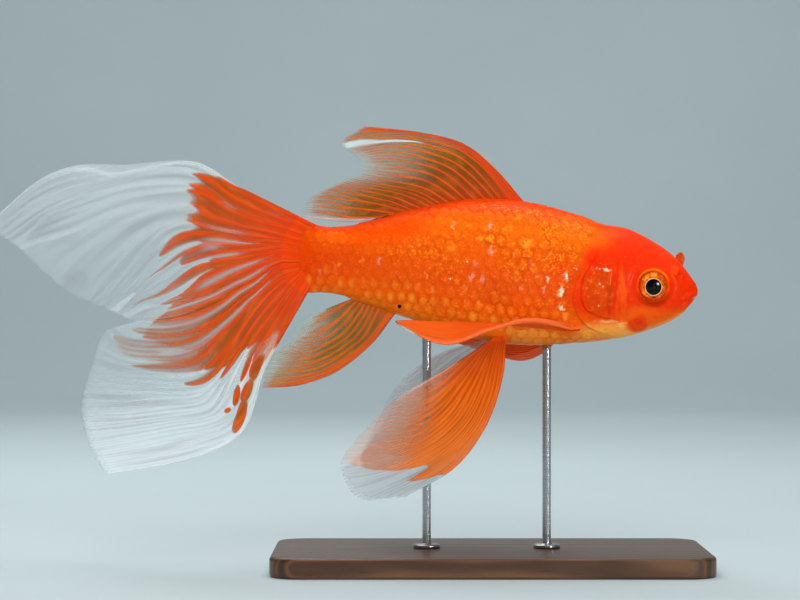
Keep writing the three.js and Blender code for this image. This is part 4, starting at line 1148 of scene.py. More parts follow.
def add(tree, kind, *feeds, out=0, stops=(), **settings):
    """Adds one node and gives back one of its open outputs, or all of them where out is None.

    feeds go to the node's open inputs in order. A setting is a property of the node, or else an input by its
    name with _ for each space. stops are a ramp's places and colours.
    """
    node = tree.nodes.new("ShaderNode" + kind)
    named = {key: value for key, value in settings.items() if not hasattr(node, key)}
    for key in settings.keys() - named.keys():
        setattr(node, key, settings[key])
    sockets = list(zip([socket for socket in node.inputs if socket.enabled], feeds))
    sockets += [(node.inputs[key.replace("_", " ")], value) for key, value in named.items()]
    for socket, value in sockets:
        if isinstance(value, bpy.types.NodeSocket):
            tree.links.new(value, socket)
        else:
            socket.default_value = paint(value) if isinstance(value, str) else value
    if stops:
        points = node.color_ramp.elements
        points[0].position, points[1].position = stops[0][0], stops[-1][0]
        points[0].color, points[1].color = paint(stops[0][1]), paint(stops[-1][1])
        for place, colour in stops[1:-1]:
            points.new(place).color = paint(colour)
    outputs = [socket for socket in node.outputs if socket.enabled]
    return outputs if out is None else outputs[out]


def new_material(name):
    material = bpy.data.materials.new(name)
    material.use_nodes = True
    material.node_tree.nodes.clear()
    return material, functools.partial(add, material.node_tree)


def layered(put, colour, layers):
    """A colour under layers of others, each given as its share and its colour, the topmost last."""
    for share, tint in layers:
        colour = put("Mix", share, colour, tint, **COLOURS)
    return colour


def spot(put, where, middle, half, core=0.3, strength=1.0, lean=0.0):
    """strength inside a soft oval, 0 outside it. core is how much of it has full strength."""
    local = put("Mapping", where, middle, (0.0, lean, 0.0), half, vector_type="TEXTURE")
    return put("MapRange", put("VectorMath", local, operation="LENGTH"), core, 1.0, strength, 0.0, **SMOOTH)


def side_spot(put, where, x, z, half_x, half_z, *softness):
    """A spot that shows on both sides of the fish."""
    return spot(put, where, (x, 0.0, z), (half_x, THROUGH, half_z), *softness)


def side_spots(put, where, rows):
    """The strongest of many spots on the sides: x, z, half length, half height, strength, lean."""
    most = 0.0
    for x, z, half_x, half_z, strength, lean in rows:
        one = side_spot(put, where, x, z, 1.25 * half_x, 1.15 * half_z, 0.15, strength, lean)
        most = put("Math", most, one, operation="MAXIMUM")
    return most


# Soft ovals of colour on both sides of the head and body: x, z, half length, half height, how much of the
# oval is full colour, strength, colour.
TINTS = [
    (36.0, 70.4, 15.0, 4.6, 0.35, 0.85, "#FFAA48"),
    (44.0, 76.6, 9.0, 3.4, 0.2, 0.5, "#F06A14"),
    (31.6, 83.8, 5.9, 10.0, 0.5, 0.75, "#CE4400"),
    (30.0, 92.0, 4.2, 6.0, 0.2, 0.8, "#EC2002"),
    (34.8, 80.0, 2.0, 8.0, 0.2, 0.5, "#C02C00"),
    (38.6, 84.0, 1.6, 9.0, 0.2, 0.5, "#F85C18"),
    (43.5, 72.8, 4.1, 2.6, 0.6, 0.9, "#E83800"),
    (44.2, 74.6, 2.6, 2.3, 0.4, 0.8, "#E43600"),
    (58.6, 79.6, 4.4, 3.2, 0.2, 0.8, "#EC2A02"),
    # A painted shadow under the eye.
    (49.0, 79.4, 5.2, 1.7, 0.2, 0.5, "#C82400"),
    (54.6, 89.0, 1.5, 3.4, 0.3, 0.5, "#F8540E"),
    (2.0, 82.5, 9.0, 4.5, 0.2, 0.5, "#C84400"),
    (21.0, 86.0, 6.0, 14.0, 0.2, 0.6, "#EC4004"),
    (-22.0, 104.0, 10.0, 5.0, 0.2, 0.6, "#FA4402"),
    (25.0, 102.0, 9.0, 5.0, 0.2, 0.6, "#F87014"),
    # Painted light that lifts the shade under the pectoral fin.
    (13.0, 70.5, 11.0, 4.5, 0.3, 0.85, "#FF9438"),
    (-44.0, 92.0, 13.0, 9.0, 0.3, 0.6, "#DE3E00"),
    (-32.0, 100.6, 17.0, 4.0, 0.4, 0.7, "#F64200"),
]
GILL_GLINTS = [
    (32.0, 89.6, 1.6, 0.5, 0.8, 0.1), (34.0, 89.3, 1.6, 0.65, 0.9, 0.05),
    (31.9, 85.3, 0.45, 0.6, 0.5, 0.0), (32.9, 84.3, 0.3, 0.4, 0.4, 0.0), (31.7, 78.8, 0.35, 0.55, 0.8, 0.0),
]
# Areas, as x, z, half length and half height.
CHEEK = (36.5, 82.0, 7.0, 11.0)
GILL_COVER = (31.4, 84.0, 6.0, 10.0)
THROAT = (34.5, 72.0, 9.0, 4.0)
PLAIN_BACK = (-24.0, 105.0, 32.0, 9.5)
# Around the eye: a gold lid, from its inner to its outer edge, and a shade under it. Distances are from the
# eye's middle and heights above it.
LID_FORWARD = 0.2
LID_INNER = (4.2, 4.6)
LID_OUTER = (5.5, 4.9)
LID_HEIGHTS = (0.0, 4.4)
SHADE_OUTER = (6.8, 4.8)
SHADE_HEIGHTS = (-1.0, -4.2)
TAIL_REDDENS = (-43.0, -57.0)


def flesh_colour(put):
    """The fish's markings, the same on skin and scales: a red head, a deep orange flank and a gold belly."""
    place = put("Attribute", attribute_name="place", out=1)
    girth = put("Attribute", attribute_name="girth", out=2)
    gills = put("Attribute", attribute_name="behind_gills", out=2)
    cloud = put("TexNoise", place, CLOUDS, 3.0)
    height = put("Math", put("Math", cloud, 0.2, -0.1, operation="MULTIPLY_ADD"), girth, operation="ADD")
    flank = put("ValToRGB", height, stops=[
        (0.0, "#EA3C00"), (0.14, "#F04602"), (0.27, "#F66808"), (0.38, "#EE5C06"),
        (0.52, "#E24C02"), (0.66, "#E65402"), (0.8, "#EC6004"), (0.95, "#F07818"),
    ])
    head = put("ValToRGB", height, stops=[
        (0.0, "#F84426"), (0.2, "#F43612"), (0.42, "#EA2A00"), (0.64, "#E43000"), (0.8, "#F06408"),
        (0.95, "#FFAE54"),
    ])
    border = put("Math", put("Math", cloud, 8.0, -4.0, operation="MULTIPLY_ADD"), gills, operation="ADD")
    colour = put("Mix", put("MapRange", border, -3.0, 3.5, **SMOOTH), head, flank, **COLOURS)
    layers = [(side_spot(put, place, *oval), tint) for *oval, tint in TINTS]
    on_tail = put("MapRange", put("SeparateXYZ", place), *TAIL_REDDENS, 0.0, 0.8, **SMOOTH)
    return layered(put, colour, layers + [(on_tail, "#E43A02")]), place, height


def skin_material():
    """Living fish skin under a wet film: a soft, even red-orange with fine pores and a clear wet gloss."""
    material, put = new_material("wet_fish_skin")
    colour, place, _ = flesh_colour(put)
    fine = put("TexNoise", place, SKIN_MOTTLE, 5.0, 0.65)
    upright = put("TexNoise", put("VectorMath", place, CHEEK_STREAKS, **TIMES), 1.0, 3.0)
    level = put("TexNoise", put("VectorMath", place, THROAT_STREAKS, **TIMES), 1.0, 3.0)
    cheek = side_spot(put, place, *CHEEK, 0.5)
    cover = side_spot(put, place, *GILL_COVER, 0.5)
    throat = side_spot(put, place, *THROAT, 0.4, 0.45)
    pale_streak = put("MapRange", upright, 0.5, 0.66, 0.0, 0.25, **SMOOTH)
    dark_streak = put("MapRange", upright, 0.5, 0.36, 0.0, 0.35, **SMOOTH)
    gold = put("MapRange", fine, 0.53, 0.66, 0.0, 0.35, **SMOOTH)
    cream = put("MapRange", level, 0.5, 0.64, **SMOOTH)
    glints = side_spots(put, place, GILL_GLINTS)

    middle = (EYE["x"] + LID_FORWARD, 0.0, EYE["z"])
    around = put("Mapping", place, middle, NO_TURN, SIDE_VIEW, vector_type="TEXTURE")
    away = put("VectorMath", around, operation="LENGTH")
    above = put("SeparateXYZ", around, out=2)
    inner = put("MapRange", away, *LID_INNER, **SMOOTH)
    lid = put("Math", inner, put("MapRange", away, *LID_OUTER, **SMOOTH), **TIMES)
    shade = put("Math", inner, put("MapRange", away, *SHADE_OUTER, **SMOOTH), **TIMES)

    colour = layered(put, colour, [
        (put("MapRange", fine, 0.48, 0.72, 0.0, 0.3, **SMOOTH), "#F85A0C"),
        (put("MapRange", fine, 0.46, 0.3, 0.0, 0.35, **SMOOTH), "#CC2600"),
        (put("Math", pale_streak, cheek, **TIMES), "#F87020"),
        (put("Math", dark_streak, cheek, **TIMES), "#B43000"),
        (put("Math", gold, cover, **TIMES), "#F48422"),
        (put("Math", cream, throat, **TIMES), "#FFD090"),
        (put("Math", glints, put("MapRange", fine, 0.4, 0.55), **TIMES), "#FFE0B8"),
        (put("Math", lid, put("MapRange", above, *LID_HEIGHTS, 0.1, 0.75, **SMOOTH), **TIMES), "#F8780C"),
        (put("Math", shade, put("MapRange", above, *SHADE_HEIGHTS, 0.0, 0.7, **SMOOTH), **TIMES), "#9C1E00"),
    ])
    grain = put("Math", fine, 2.0, put("TexVoronoi", place, SKIN_PORES), operation="MULTIPLY_ADD")
    put("OutputMaterial", put(
        "BsdfPrincipled", Base_Color=colour, Roughness=put("MapRange", fine, 0.3, 0.7, 0.34, 0.48, **SMOOTH),
        Normal=put("Bump", Strength=0.35, Distance=0.0001, Height=grain), IOR=1.4, Specular_IOR_Level=0.06,
        Coat_Weight=0.05, Coat_Roughness=0.1, Coat_IOR=1.34,
        Subsurface_Weight=0.1, Subsurface_Radius=(1.0, 0.25, 0.1), Subsurface_Scale=0.002,
    ), out=None)
    return material


# Painted reflections and sparkles on single scales of the side, where a scale catches the light: x, z, half
# length, half height, strength, lean.
PEARLY_GLINTS = [
    (-0.4, 102.4, 0.7, 1.6, 0.9, 0.3), (-0.05, 94.8, 0.8, 2.0, 0.6, 0.1), (-5.8, 87.2, 0.8, 1.9, 0.6, 0.1),
    (-2.9, 86.7, 0.65, 1.6, 0.5, 0.1), (-4.6, 91.1, 0.8, 1.4, 0.35, 0.0), (15.4, 83.4, 0.6, 1.2, 0.75, 0.0),
    (13.5, 87.2, 0.6, 0.9, 0.4, 0.0), (8.7, 83.8, 0.7, 0.7, 0.4, 0.0), (11.8, 91.1, 0.6, 1.0, 0.35, 0.0),
    (-10.9, 103.2, 0.9, 1.2, 0.35, 0.2), (-33.4, 92.2, 0.75, 1.6, 0.6, 0.1), (-51, 89, 0.6, 1.0, 0.3, 0.0),
]
CREAMY_SPARKLES = [
    (16.5, 86.5, 0.6, 1.3, 0.7, -0.3), (22.0, 87.2, 0.75, 1.5, 1.0, 0.0), (20.6, 82.9, 0.85, 2.0, 1.0, 0.0),
    (20.9, 78.0, 0.75, 1.2, 0.85, -0.3), (-7.5, 91.7, 0.45, 0.45, 0.8, 0), (-12.2, 86.7, 0.45, 0.5, 0.9, 0),
    (-11.2, 101.7, 0.5, 0.4, 0.6, 0.0), (25.0, 89.8, 0.5, 0.5, 0.6, 0.0),
]
TAN_GLINTS = [
    (-19.3, 87.7, 0.6, 2.0, 0.5, -0.3), (-17.0, 83.4, 0.8, 1.4, 0.4, -0.2), (-7.8, 83.6, 0.9, 1.5, 0.25, 0),
    (-28.0, 88.0, 0.6, 1.2, 0.25, 0.0),
]
# Painted gold glints on the upper flank, where scales reflect the top light, in the same columns.
GOLD_GLINTS = [
    (10.3, 97.2, 2.3, 1.8, 1.0, 0.0), (-3.3, 98.3, 1.6, 1.3, 0.7, 0.0), (-0.7, 98.7, 0.9, 0.8, 0.9, 0.0),
    (-11.9, 95.8, 2.3, 1.8, 0.45, 0.0), (15.0, 96.7, 0.7, 0.8, 0.8, 0.0), (6.2, 97.0, 0.8, 0.8, 0.7, 0.0),
    (15.9, 92.4, 1.1, 0.6, 0.8, 0.0), (15.9, 103.3, 0.8, 0.5, 0.6, 0.0), (11.5, 106.5, 1.3, 1.1, 0.5, 0.0),
    (8.2, 105.0, 1.2, 1.3, 0.5, 0.0), (5.9, 101.6, 1.0, 1.6, 0.5, 0.0), (-7.0, 102.4, 0.8, 0.5, 0.5, 0.0),
    (-21.1, 96.7, 0.7, 0.7, 0.6, 0.0), (-18.0, 94.8, 0.8, 0.8, 0.4, 0.0), (-38.2, 92.4, 0.9, 0.9, 0.5, 0.0),
    (-45.4, 91.2, 0.9, 0.9, 0.5, 0.0),
]
DARK_DOT = (-27.15, 78.5, 0.75, 0.75)  # on the right side only
FRAY_REACH = 2.6  # how far the markings' edges wander, in millimetres
SCALE_WANDER = (0.4, 0.5, 0.0)  # how far the glow strays from a scale's middle, as shares of its half sizes
STALK = (-14.0, -42.0)  # where the scales' markings fade into the tail stalk


def scale_material():
    """Thin bony scales over a mirror layer of guanine: orange and gold, each lit in its own way, with a
    painted highlight on each scale, painted glints and sparkles on single scales and painted gold flecks
    where the upper flank catches the top light.
    """
    material, put = new_material("guanine_backed_scales")
    colour, root, height = flesh_colour(put)
    local = put("Attribute", attribute_name="scale_local", out=1)
    chance = put("SeparateXYZ", local, out=2)
    place = put("VectorMath", put("TexCoord", out=3), (1000.0,) * 3, **TIMES)
    mottle = put("TexNoise", place, SCALE_MOTTLE, 4.0, 0.6)
    speckle = put("TexNoise", place, SCALE_SPECKLE, 3.0, 0.6)
    cloud = put("TexNoise", place, FLANK_CLOUDS, 2.0)
    frayed = put("VectorMath", put("TexNoise", place, FRAYING, 2.0, out=1), (0.5,) * 3, operation="SUBTRACT")
    frayed = put("VectorMath", frayed, (FRAY_REACH,) * 3, place, operation="MULTIPLY_ADD")
    nudge = put("VectorMath", put("TexWhiteNoise", root, out=1), (0.5,) * 3, operation="SUBTRACT")
    nudge = put("VectorMath", nudge, SCALE_WANDER, local, operation="MULTIPLY_ADD")

    on_stalk = put("MapRange", put("SeparateXYZ", place), *STALK, 1.0, 0.15, **SMOOTH)
    scaly = put("Math", 1.0, side_spot(put, place, *PLAIN_BACK, 0.4), operation="SUBTRACT")
    patchy = put("MapRange", cloud, 0.38, 0.62, 0.25, 1.0, **SMOOTH)
    patchy = put("Math", patchy, put("MapRange", height, 0.06, 0.22, 0.15, 1.0, **SMOOTH), **TIMES)
    patchy = put("Math", patchy, on_stalk, **TIMES)
    patchy = put("Math", patchy, put("MapRange", height, 0.5, 0.68, 1.0, 0.6, **SMOOTH), **TIMES)
    # lit, broken and glow: a painted highlight on each scale, off its middle towards the rear.
    lit = spot(put, nudge, (0.42, 0.0, 0.0), (0.8, 0.9, THROUGH), 0.0)
    broken = put("Math", lit, put("MapRange", mottle, 0.4, 0.62, 0.1, 1.0, **SMOOTH), **TIMES)
    core = spot(put, local, (0.35, 0.0, 0.0), (0.85, 0.95, THROUGH), 0.3)
    outline = put("Math", put("Math", 1.0, core, operation="SUBTRACT"), patchy, **TIMES)
    outline = put("Math", outline, put("MapRange", chance, 0.0, 1.0, 0.22, 0.6), **TIMES)
    glow = put("Math", broken, put("MapRange", chance, 0.0, 1.0, 0.05, 0.45), **TIMES)
    # band: the upper flank, where the scales catch the top light, painted with gold flecks.
    above = put("MapRange", height, 0.08, 0.18, **SMOOTH)
    band = put("Math", above, put("MapRange", height, 0.56, 0.36, 0.35, 1.0, **SMOOTH), **TIMES)
    band = put("Math", band, on_stalk, **TIMES)
    band = put("Math", band, scaly, **TIMES)
    band = put("Math", band, put("MapRange", cloud, 0.4, 0.58, 0.2, 1.0, **SMOOTH), **TIMES)
    band = put("Math", band, put("MapRange", lit, 0.0, 0.5, 0.25, 1.0, **SMOOTH), **TIMES)
    flakes = put("MapRange", speckle, 0.5, 0.62, 0.0, 0.75, **SMOOTH)
    # low_flank and crescent: painted highlights on the scales of the lower flank.
    low_flank = put("MapRange", height, 0.55, 0.7, **SMOOTH)
    low_flank = put("Math", low_flank, put("MapRange", chance, 0.1, 1.0, 0.05, 0.5), **TIMES)
    low_flank_glint = spot(put, nudge, (0.45, 0.0, 0.0), (0.5, 0.8, THROUGH), 0.15)
    # gold: the painted gold glints, which also make those scales partly metallic.
    gold = put("Math", side_spots(put, frayed, GOLD_GLINTS), put("MapRange", mottle, 0.36, 0.5), **TIMES)
    layers = [
        (put("Math", outline, scaly, **TIMES), "#BE3400"),
        (put("Math", glow, patchy, **TIMES), "#FF8A14"),
        (put("Math", flakes, band, **TIMES), "#FFA428"),
        (put("MapRange", speckle, 0.52, 0.74, 0.0, 0.25, **SMOOTH), "#FF8A1C"),
        (put("MapRange", speckle, 0.47, 0.28, 0.0, 0.35, **SMOOTH), "#C83A00"),
        (put("Math", low_flank, low_flank_glint, **TIMES), "#F4A438"),
        (put("Math", gold, 0.85, **TIMES), "#FFA828"),
    ]
    # The painted reflections and sparkles of single scales, each broken up by the speckle.
    ragged = put("MapRange", speckle, 0.34, 0.46)
    for marks, tint in ((TAN_GLINTS, "#F09850"), (PEARLY_GLINTS, "#EAA084"), (CREAMY_SPARKLES, "#FFE6B8")):
        layers.append((put("Math", side_spots(put, frayed, marks), ragged, **TIMES), tint))
    right_side = put("MapRange", put("SeparateXYZ", place, out=1), 0.5, -0.5)
    layers.append((put("Math", side_spot(put, place, *DARK_DOT, 0.6), right_side, **TIMES), "#140A06"))

    flat = put("VectorMath", local, (1.0, 1.0, 0.0), **TIMES)
    rings = put("Math", put("VectorMath", flat, operation="LENGTH"), GROWTH_RINGS, **TIMES)
    rings = put("Math", rings, operation="SINE")
    put("OutputMaterial", put(
        "BsdfPrincipled", Base_Color=layered(put, colour, layers),
        Roughness=put("MapRange", mottle, 0.3, 0.7, 0.32, 0.46, **SMOOTH), IOR=1.4,
        Normal=put("Bump", Strength=0.2, Distance=0.00003, Height=rings),
        Metallic=put("Math", gold, 0.3, **TIMES), Specular_IOR_Level=0.07,
        Coat_Weight=0.05, Coat_Roughness=0.12, Coat_IOR=1.34,
    ), out=None)
    return material


# Colours of each kind of fin by place along it, from 0 at the root to 1 at the margin: on the bony rays, and
# on the membrane where it is dense and orange, where it is thin, and where it has no orange.
FIN_LOOKS = {
    "tail": {
        "name": "streaked_tail_membrane",
        "ray": [(0.0, "#EC3E02"), (0.15, "#E84A04"), (0.4, "#DE4C02"), (0.55, "#D45A08"), (0.8, "#BA6416")],
        "membrane": [
            (0, "#E23C02"), (0.1, "#CC4402"), (0.25, "#AC4A06"), (0.5, "#965A0C"), (0.7, "#8A6A24"),
        ],
        "thin": [(0.15, "#DC743C"), (0.32, "#A66826"), (1.0, "#8A6A24")],
        "pale": [(0.15, "#F2DCC8"), (0.35, "#E2EAEC"), (0.6, "#D0E0E6"), (1.0, "#D8E6EC")],
        "fleck": "#F0702C", "lead": "#E84404", "white": "#F0F6FA",
    },
    "dorsal": {
        "name": "dorsal_membrane_and_rays",
        "ray": [(0.0, "#E24E04"), (0.3, "#E45C0A"), (0.6, "#DC6A18"), (1.0, "#D87024")],
        "membrane": [(0, "#A83A00"), (0.25, "#824400"), (0.5, "#865C0C"), (0.75, "#986618"), (1, "#A06A22")],
        "pale": [(0.0, "#A87434"), (0.4, "#A08C5C"), (0.8, "#9C9468"), (1.0, "#9C9C7C")],
        "thin": [(0.2, "#9C7028"), (1.0, "#8E6C30")],
        "fleck": "#DE6C1C", "lead": "#DE4402", "white": "#D8EEF2",
    },
    "anal": {
        "name": "anal_membrane_and_rays",
        "ray": [(0.0, "#DC5C0C"), (0.4, "#D8640C"), (1.0, "#C88038")],
        "membrane": [(0.0, "#A04A06"), (0.12, "#7C5A10"), (0.5, "#6E6218"), (1.0, "#8C7834")],
        "pale": [(0.0, "#A88448"), (0.5, "#9C9468"), (1.0, "#A4A480")],
        "thin": [(0.2, "#987630"), (1.0, "#907C40")],
        "fleck": "#DA7A30", "lead": "#E05A08", "white": "#DCE8E4",
    },
    "pelvic": {
        "name": "pelvic_membrane_and_rays",
        "ray": [(0.0, "#F45C08"), (0.4, "#F07018"), (1.0, "#EC8A48")],
        "membrane": [(0.0, "#E64A02"), (0.3, "#D45402"), (1.0, "#CC6818")],
        "pale": [(0.0, "#A8B0B0"), (1.0, "#A6B0B8")],
        "thin": [(0.2, "#A88458"), (1.0, "#A08A6C")],
        "fleck": "#F08030", "lead": "#F06A18", "white": "#E4ECF0",
    },
    "pectoral": {
        "name": "pectoral_membrane_and_rays",
        "ray": [(0.0, "#F86010"), (0.4, "#F86006"), (1.0, "#FA6A0A")],
        "membrane": [(0.0, "#EC4C0C"), (0.3, "#E04200"), (1.0, "#D84200")],
        "pale": [(0.0, "#D8DCD4"), (1.0, "#C8D2CC")],
        "thin": [(0.2, "#CC7028"), (1.0, "#C07430")],
        "fleck": "#F0600C", "lead": "#F8743C", "white": "#FFFFFF",
    },
}
# How fine a fin's grain is: across it, to a bony ray, and along it, to the whole fin.
STREAKS = (4.0, 3.0)
FLECKS = (1.6, 9.0)
GRAIN_SHADE = "#6E2A04"


def fin_material(kind_name):
    """Clear membrane over bony rays, with pigment in streaks: the mesh says how orange and how opaque."""
    look, rays = FIN_LOOKS[kind_name], FIN_KINDS[kind_name]["rays"]
    material, put = new_material(look["name"])
    fan = put("Attribute", attribute_name="fan", out=1)
    _, along, ray = put("SeparateXYZ", fan, out=None)
    pigment, film, white = put("SeparateXYZ", put("Attribute", attribute_name="marks", out=1), out=None)
    leading = put("Attribute", attribute_name="leading", out=2)
    streaks = put("VectorMath", fan, (rays * STREAKS[0], STREAKS[1], 0.0), **TIMES)
    streaks = put("TexNoise", streaks, 1.0, 1.0)
    flecks = put("VectorMath", fan, (rays * FLECKS[0], FLECKS[1], 0.0), **TIMES)
    flecks = put("TexNoise", flecks, 1.0, 2.0)
    bony, membrane, thin, pale = (
        put("ValToRGB", along, stops=look[part]) for part in ("ray", "membrane", "thin", "pale")
    )
    orange = layered(put, membrane, [(ray, bony)])
    thin = layered(put, thin, [(put("Math", ray, 0.8, **TIMES), bony)])
    flecked = put("Math", put("MapRange", flecks, 0.45, 0.7, 0.0, 0.35, **SMOOTH), pigment, **TIMES)
    colour = layered(put, pale, [
        (put("Math", ray, 0.35, **TIMES), look["white"]),
        (put("MapRange", pigment, 0.02, 0.4, **SMOOTH), thin),
        (put("MapRange", pigment, 0.35, 1.0, **SMOOTH), orange),
        (flecked, look["fleck"]),
        (put("Math", leading, 0.85, **TIMES), look["lead"]),
        (put("MapRange", streaks, 0.5, 0.3, 0.0, 0.22, **SMOOTH), GRAIN_SHADE),
        (white, look["white"]),
    ])
    uneven = put("Math", streaks, 0.5, operation="SUBTRACT")
    alpha = put("Math", uneven, 0.22, film, operation="MULTIPLY_ADD", use_clamp=True)
    put("OutputMaterial", put(
        "BsdfPrincipled", Base_Color=colour, Alpha=alpha, IOR=1.38,
        Roughness=put("MapRange", streaks, 0.3, 0.7, 0.36, 0.5, **SMOOTH),
        Normal=put("Bump", Strength=0.4, Distance=0.00012, Height=ray),
        Specular_IOR_Level=0.08, Coat_Weight=0.05, Coat_Roughness=0.15, Coat_IOR=1.34,
    ), out=None)
    return material


GOLD_ARCS = ((-2.4, 2.2, 1.7), (-2.6, -2.2, 1.4), (0.2, 3.2, 1.7))  # on the iris: forward, up, half size
IRIS_EDGE = (3.7, 4.4)
IRIS_NOTCH = (0.15, -3.4, 1.0, 0.45)  # a dark nick in the iris under the pupil


def eye_material():
    """A living fish eye: black pupil, thin gold ring, gold flakes on orange, and a clear wet gloss."""
    material, put = new_material("wet_golden_iris")
    iris = put("Attribute", attribute_name="iris", out=1)
    from_middle = put("VectorMath", iris, (1.0, 0.0, 1.0), **TIMES)
    from_middle = put("VectorMath", from_middle, operation="LENGTH")
    pupil = put("Mapping", iris, PUPIL_OFFSET, NO_TURN, SIDE_VIEW, vector_type="TEXTURE")
    from_pupil = put("VectorMath", pupil, operation="LENGTH")
    flakes = put("TexNoise", iris, IRIS_FLAKES, 4.0, Distortion=0.6)
    tint = put("ValToRGB", flakes, stops=[
        (0.3, "#A43604"), (0.46, "#CC4E04"), (0.6, "#E0640A"), (0.76, "#F08C2C"),
    ])
    layers = []
    for x, z, reach in GOLD_ARCS:
        arc = side_spot(put, iris, x, z, reach, reach, 0.1, 0.65)
        layers.append((put("Math", arc, put("MapRange", flakes, 0.4, 0.55, **SMOOTH), **TIMES), "#FFAC3C"))
    outside = put("MapRange", from_pupil, PUPIL_RADIUS - 0.1, PUPIL_RADIUS + 0.06, **SMOOTH)
    ring = put("MapRange", from_pupil, PUPIL_RING + 0.14, PUPIL_RING - 0.06, **SMOOTH)
    ring = put("Math", outside, ring, **TIMES)
    tint = layered(put, tint, layers + [
        (put("MapRange", from_middle, *IRIS_EDGE, **SMOOTH), "#B83004"),
        (put("Math", ring, 0.75, **TIMES), "#F8C488"),
        (side_spot(put, iris, *IRIS_NOTCH, 0.35, 0.85), "#3A1204"),
        (put("MapRange", from_pupil, PUPIL_RADIUS + 0.04, PUPIL_RADIUS - 0.1, **SMOOTH), "#030202"),
    ])
    put("OutputMaterial", put(
        "BsdfPrincipled", Base_Color=tint, Roughness=put("MapRange", flakes, 0.3, 0.7, 0.34, 0.22, **SMOOTH),
        IOR=1.4, Specular_IOR_Level=0.06, Coat_Weight=0.6, Coat_Roughness=0.02, Coat_IOR=1.34,
    ), out=None)
    return material


def nose_flap_material():
    """Soft fleshy lobes, a darker red-orange than the head, wet and slightly veined."""
    material, put = new_material("soft_nasal_flesh")
    place = put("Attribute", attribute_name="place", out=1)
    veins = put("TexNoise", place, FLAP_VEINS, 4.0)
    tint = put("ValToRGB", veins, stops=[(0.35, "#AC3402"), (0.5, "#C44004"), (0.68, "#D8540C")])
    put("OutputMaterial", put(
        "BsdfPrincipled", Base_Color=tint, Roughness=put("MapRange", veins, 0.3, 0.7, 0.34, 0.48, **SMOOTH),
        Normal=put("Bump", Strength=0.3, Distance=0.0001, Height=veins), IOR=1.4, Specular_IOR_Level=0.2,
        Coat_Weight=0.2, Coat_Roughness=0.12, Coat_IOR=1.34,
    ), out=None)
    return material


def walnut_material():
    """Planed and oiled walnut: brown growth bands along the board, fine dark pores and a low sheen."""
    material, put = new_material("oiled_walnut")
    place = put("TexCoord", out=3)
    long_way = put("VectorMath", place, WALNUT_FIGURE, **TIMES)
    bend = put("TexNoise", long_way, 0.7, 3.0, out=1)
    bent = put("VectorMath", bend, (0.9, 0.9, 0.9), long_way, operation="MULTIPLY_ADD")
    band = put("TexWave", bent, WALNUT_BANDS, 3.0, 3.0, bands_direction="Y", out=1)
    wood = put("ValToRGB", band, stops=[(0, "#3B2416"), (0.4, "#55361F"), (0.7, "#6E4A2E"), (1, "#4A2E1C")])
    pores = put("TexNoise", put("VectorMath", place, WALNUT_PORES, **TIMES), 1.0, 2.0)
    deep = put("MapRange", pores, 0.62, 0.72, **SMOOTH)
    wood = layered(put, wood, [(put("Math", deep, 0.6, **TIMES), "#22140C")])
    put("OutputMaterial", put(
        "BsdfPrincipled", Base_Color=wood, Roughness=put("MapRange", band, 0.0, 1.0, 0.36, 0.5), IOR=1.48,
        Normal=put("Bump", Strength=0.4, Distance=0.0001, Height=deep, invert=True),
        Coat_Weight=0.15, Coat_Roughness=0.3,
    ), out=None)
    return material


def steel_material():
    """Turned stainless steel: fine rings left by the tool round each rod, and a satin shine."""
    material, put = new_material("turned_stainless_steel")
    rings = put("VectorMath", put("TexCoord", out=3), TOOL_RINGS, **TIMES)
    rings = put("TexNoise", rings, 1.0, 3.0)
    put("OutputMaterial", put(
        "BsdfPrincipled", Base_Color=put("ValToRGB", rings, stops=[(0.3, "#A9ABAD"), (0.7, "#CFD1D2")]),
        Roughness=put("MapRange", rings, 0.3, 0.7, 0.22, 0.36, **SMOOTH), Metallic=1.0,
        Normal=put("Bump", Strength=0.2, Distance=0.00002, Height=rings),
    ), out=None)
    return material


def studio_material():
    """Matt painted studio sheet, a pale blue-grey with a faint mottle."""
    material, put = new_material("matt_studio_sheet")
    mottle = put("TexNoise", put("TexCoord", out=3), SHEET_MOTTLE, 4.0)
    tint = put("ValToRGB", mottle, stops=[(0.3, "#BACACE"), (0.7, "#C0D0D4")])
    surface = put("BsdfPrincipled", Base_Color=tint, Roughness=0.9, Specular_IOR_Level=0.2)
    put("OutputMaterial", surface, out=None)
    return material


# ---------------------------------------------------------------- putting the fish together

BOTH_SIDES = (("right", -1.0), ("left", 1.0))  # each side's name and the sign of its y


def place_piece(piece, material, slot, *nodes):
    piece.data.materials.append(material)
    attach(piece, "root")
    if nodes:
        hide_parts(*nodes)


flesh = skin_material()
place_piece(
    make_skin(), flesh, "head_skin",
    "head", "lower_jaw", "gill_cover_right", "gill_cover_left", "trunk", "tail_stalk",
)
arcs = arc_table()
scales = scale_material()
for side_name, side in BOTH_SIDES:
    place_piece(make_scales("scales_" + side_name, arcs, side), scales, "flank_skin")

membranes = {kind_name: fin_material(kind_name) for kind_name in FIN_KINDS}
for name, node, kind_name, guides, span, steps, tinted in FINS:
    slot = "tail_membrane" if kind_name == "tail" else "fin_membrane"
    place_piece(make_fin(name, kind_name, guides, span, steps, tinted), membranes[kind_name], slot, node)

eyes = eye_material()
for side_name, side in BOTH_SIDES:
    place_piece(make_eye(side_name + "_eyeball", side), eyes, "eye", "eye_" + side_name)

standing = make_nose_flap("standing_nose_flap", STANDING_FLAP)
lying = make_nose_flap("lying_nose_flap", LYING_FLAP)
place_piece(standing, nose_flap_material(), "head_skin", "nasal_flap_left")
place_piece(lying, flesh, "head_skin", "nasal_flap_right")

place_piece(make_base("walnut_base"), walnut_material(), "stand_wood", "stand_base")
steel = steel_material()
for node, x in ROD_PLACES.items():
    place_piece(make_rod(node.replace("stand_", "steel_"), x), steel, "stand_steel", node)

# ---------------------------------------------------------------- floor, light and camera

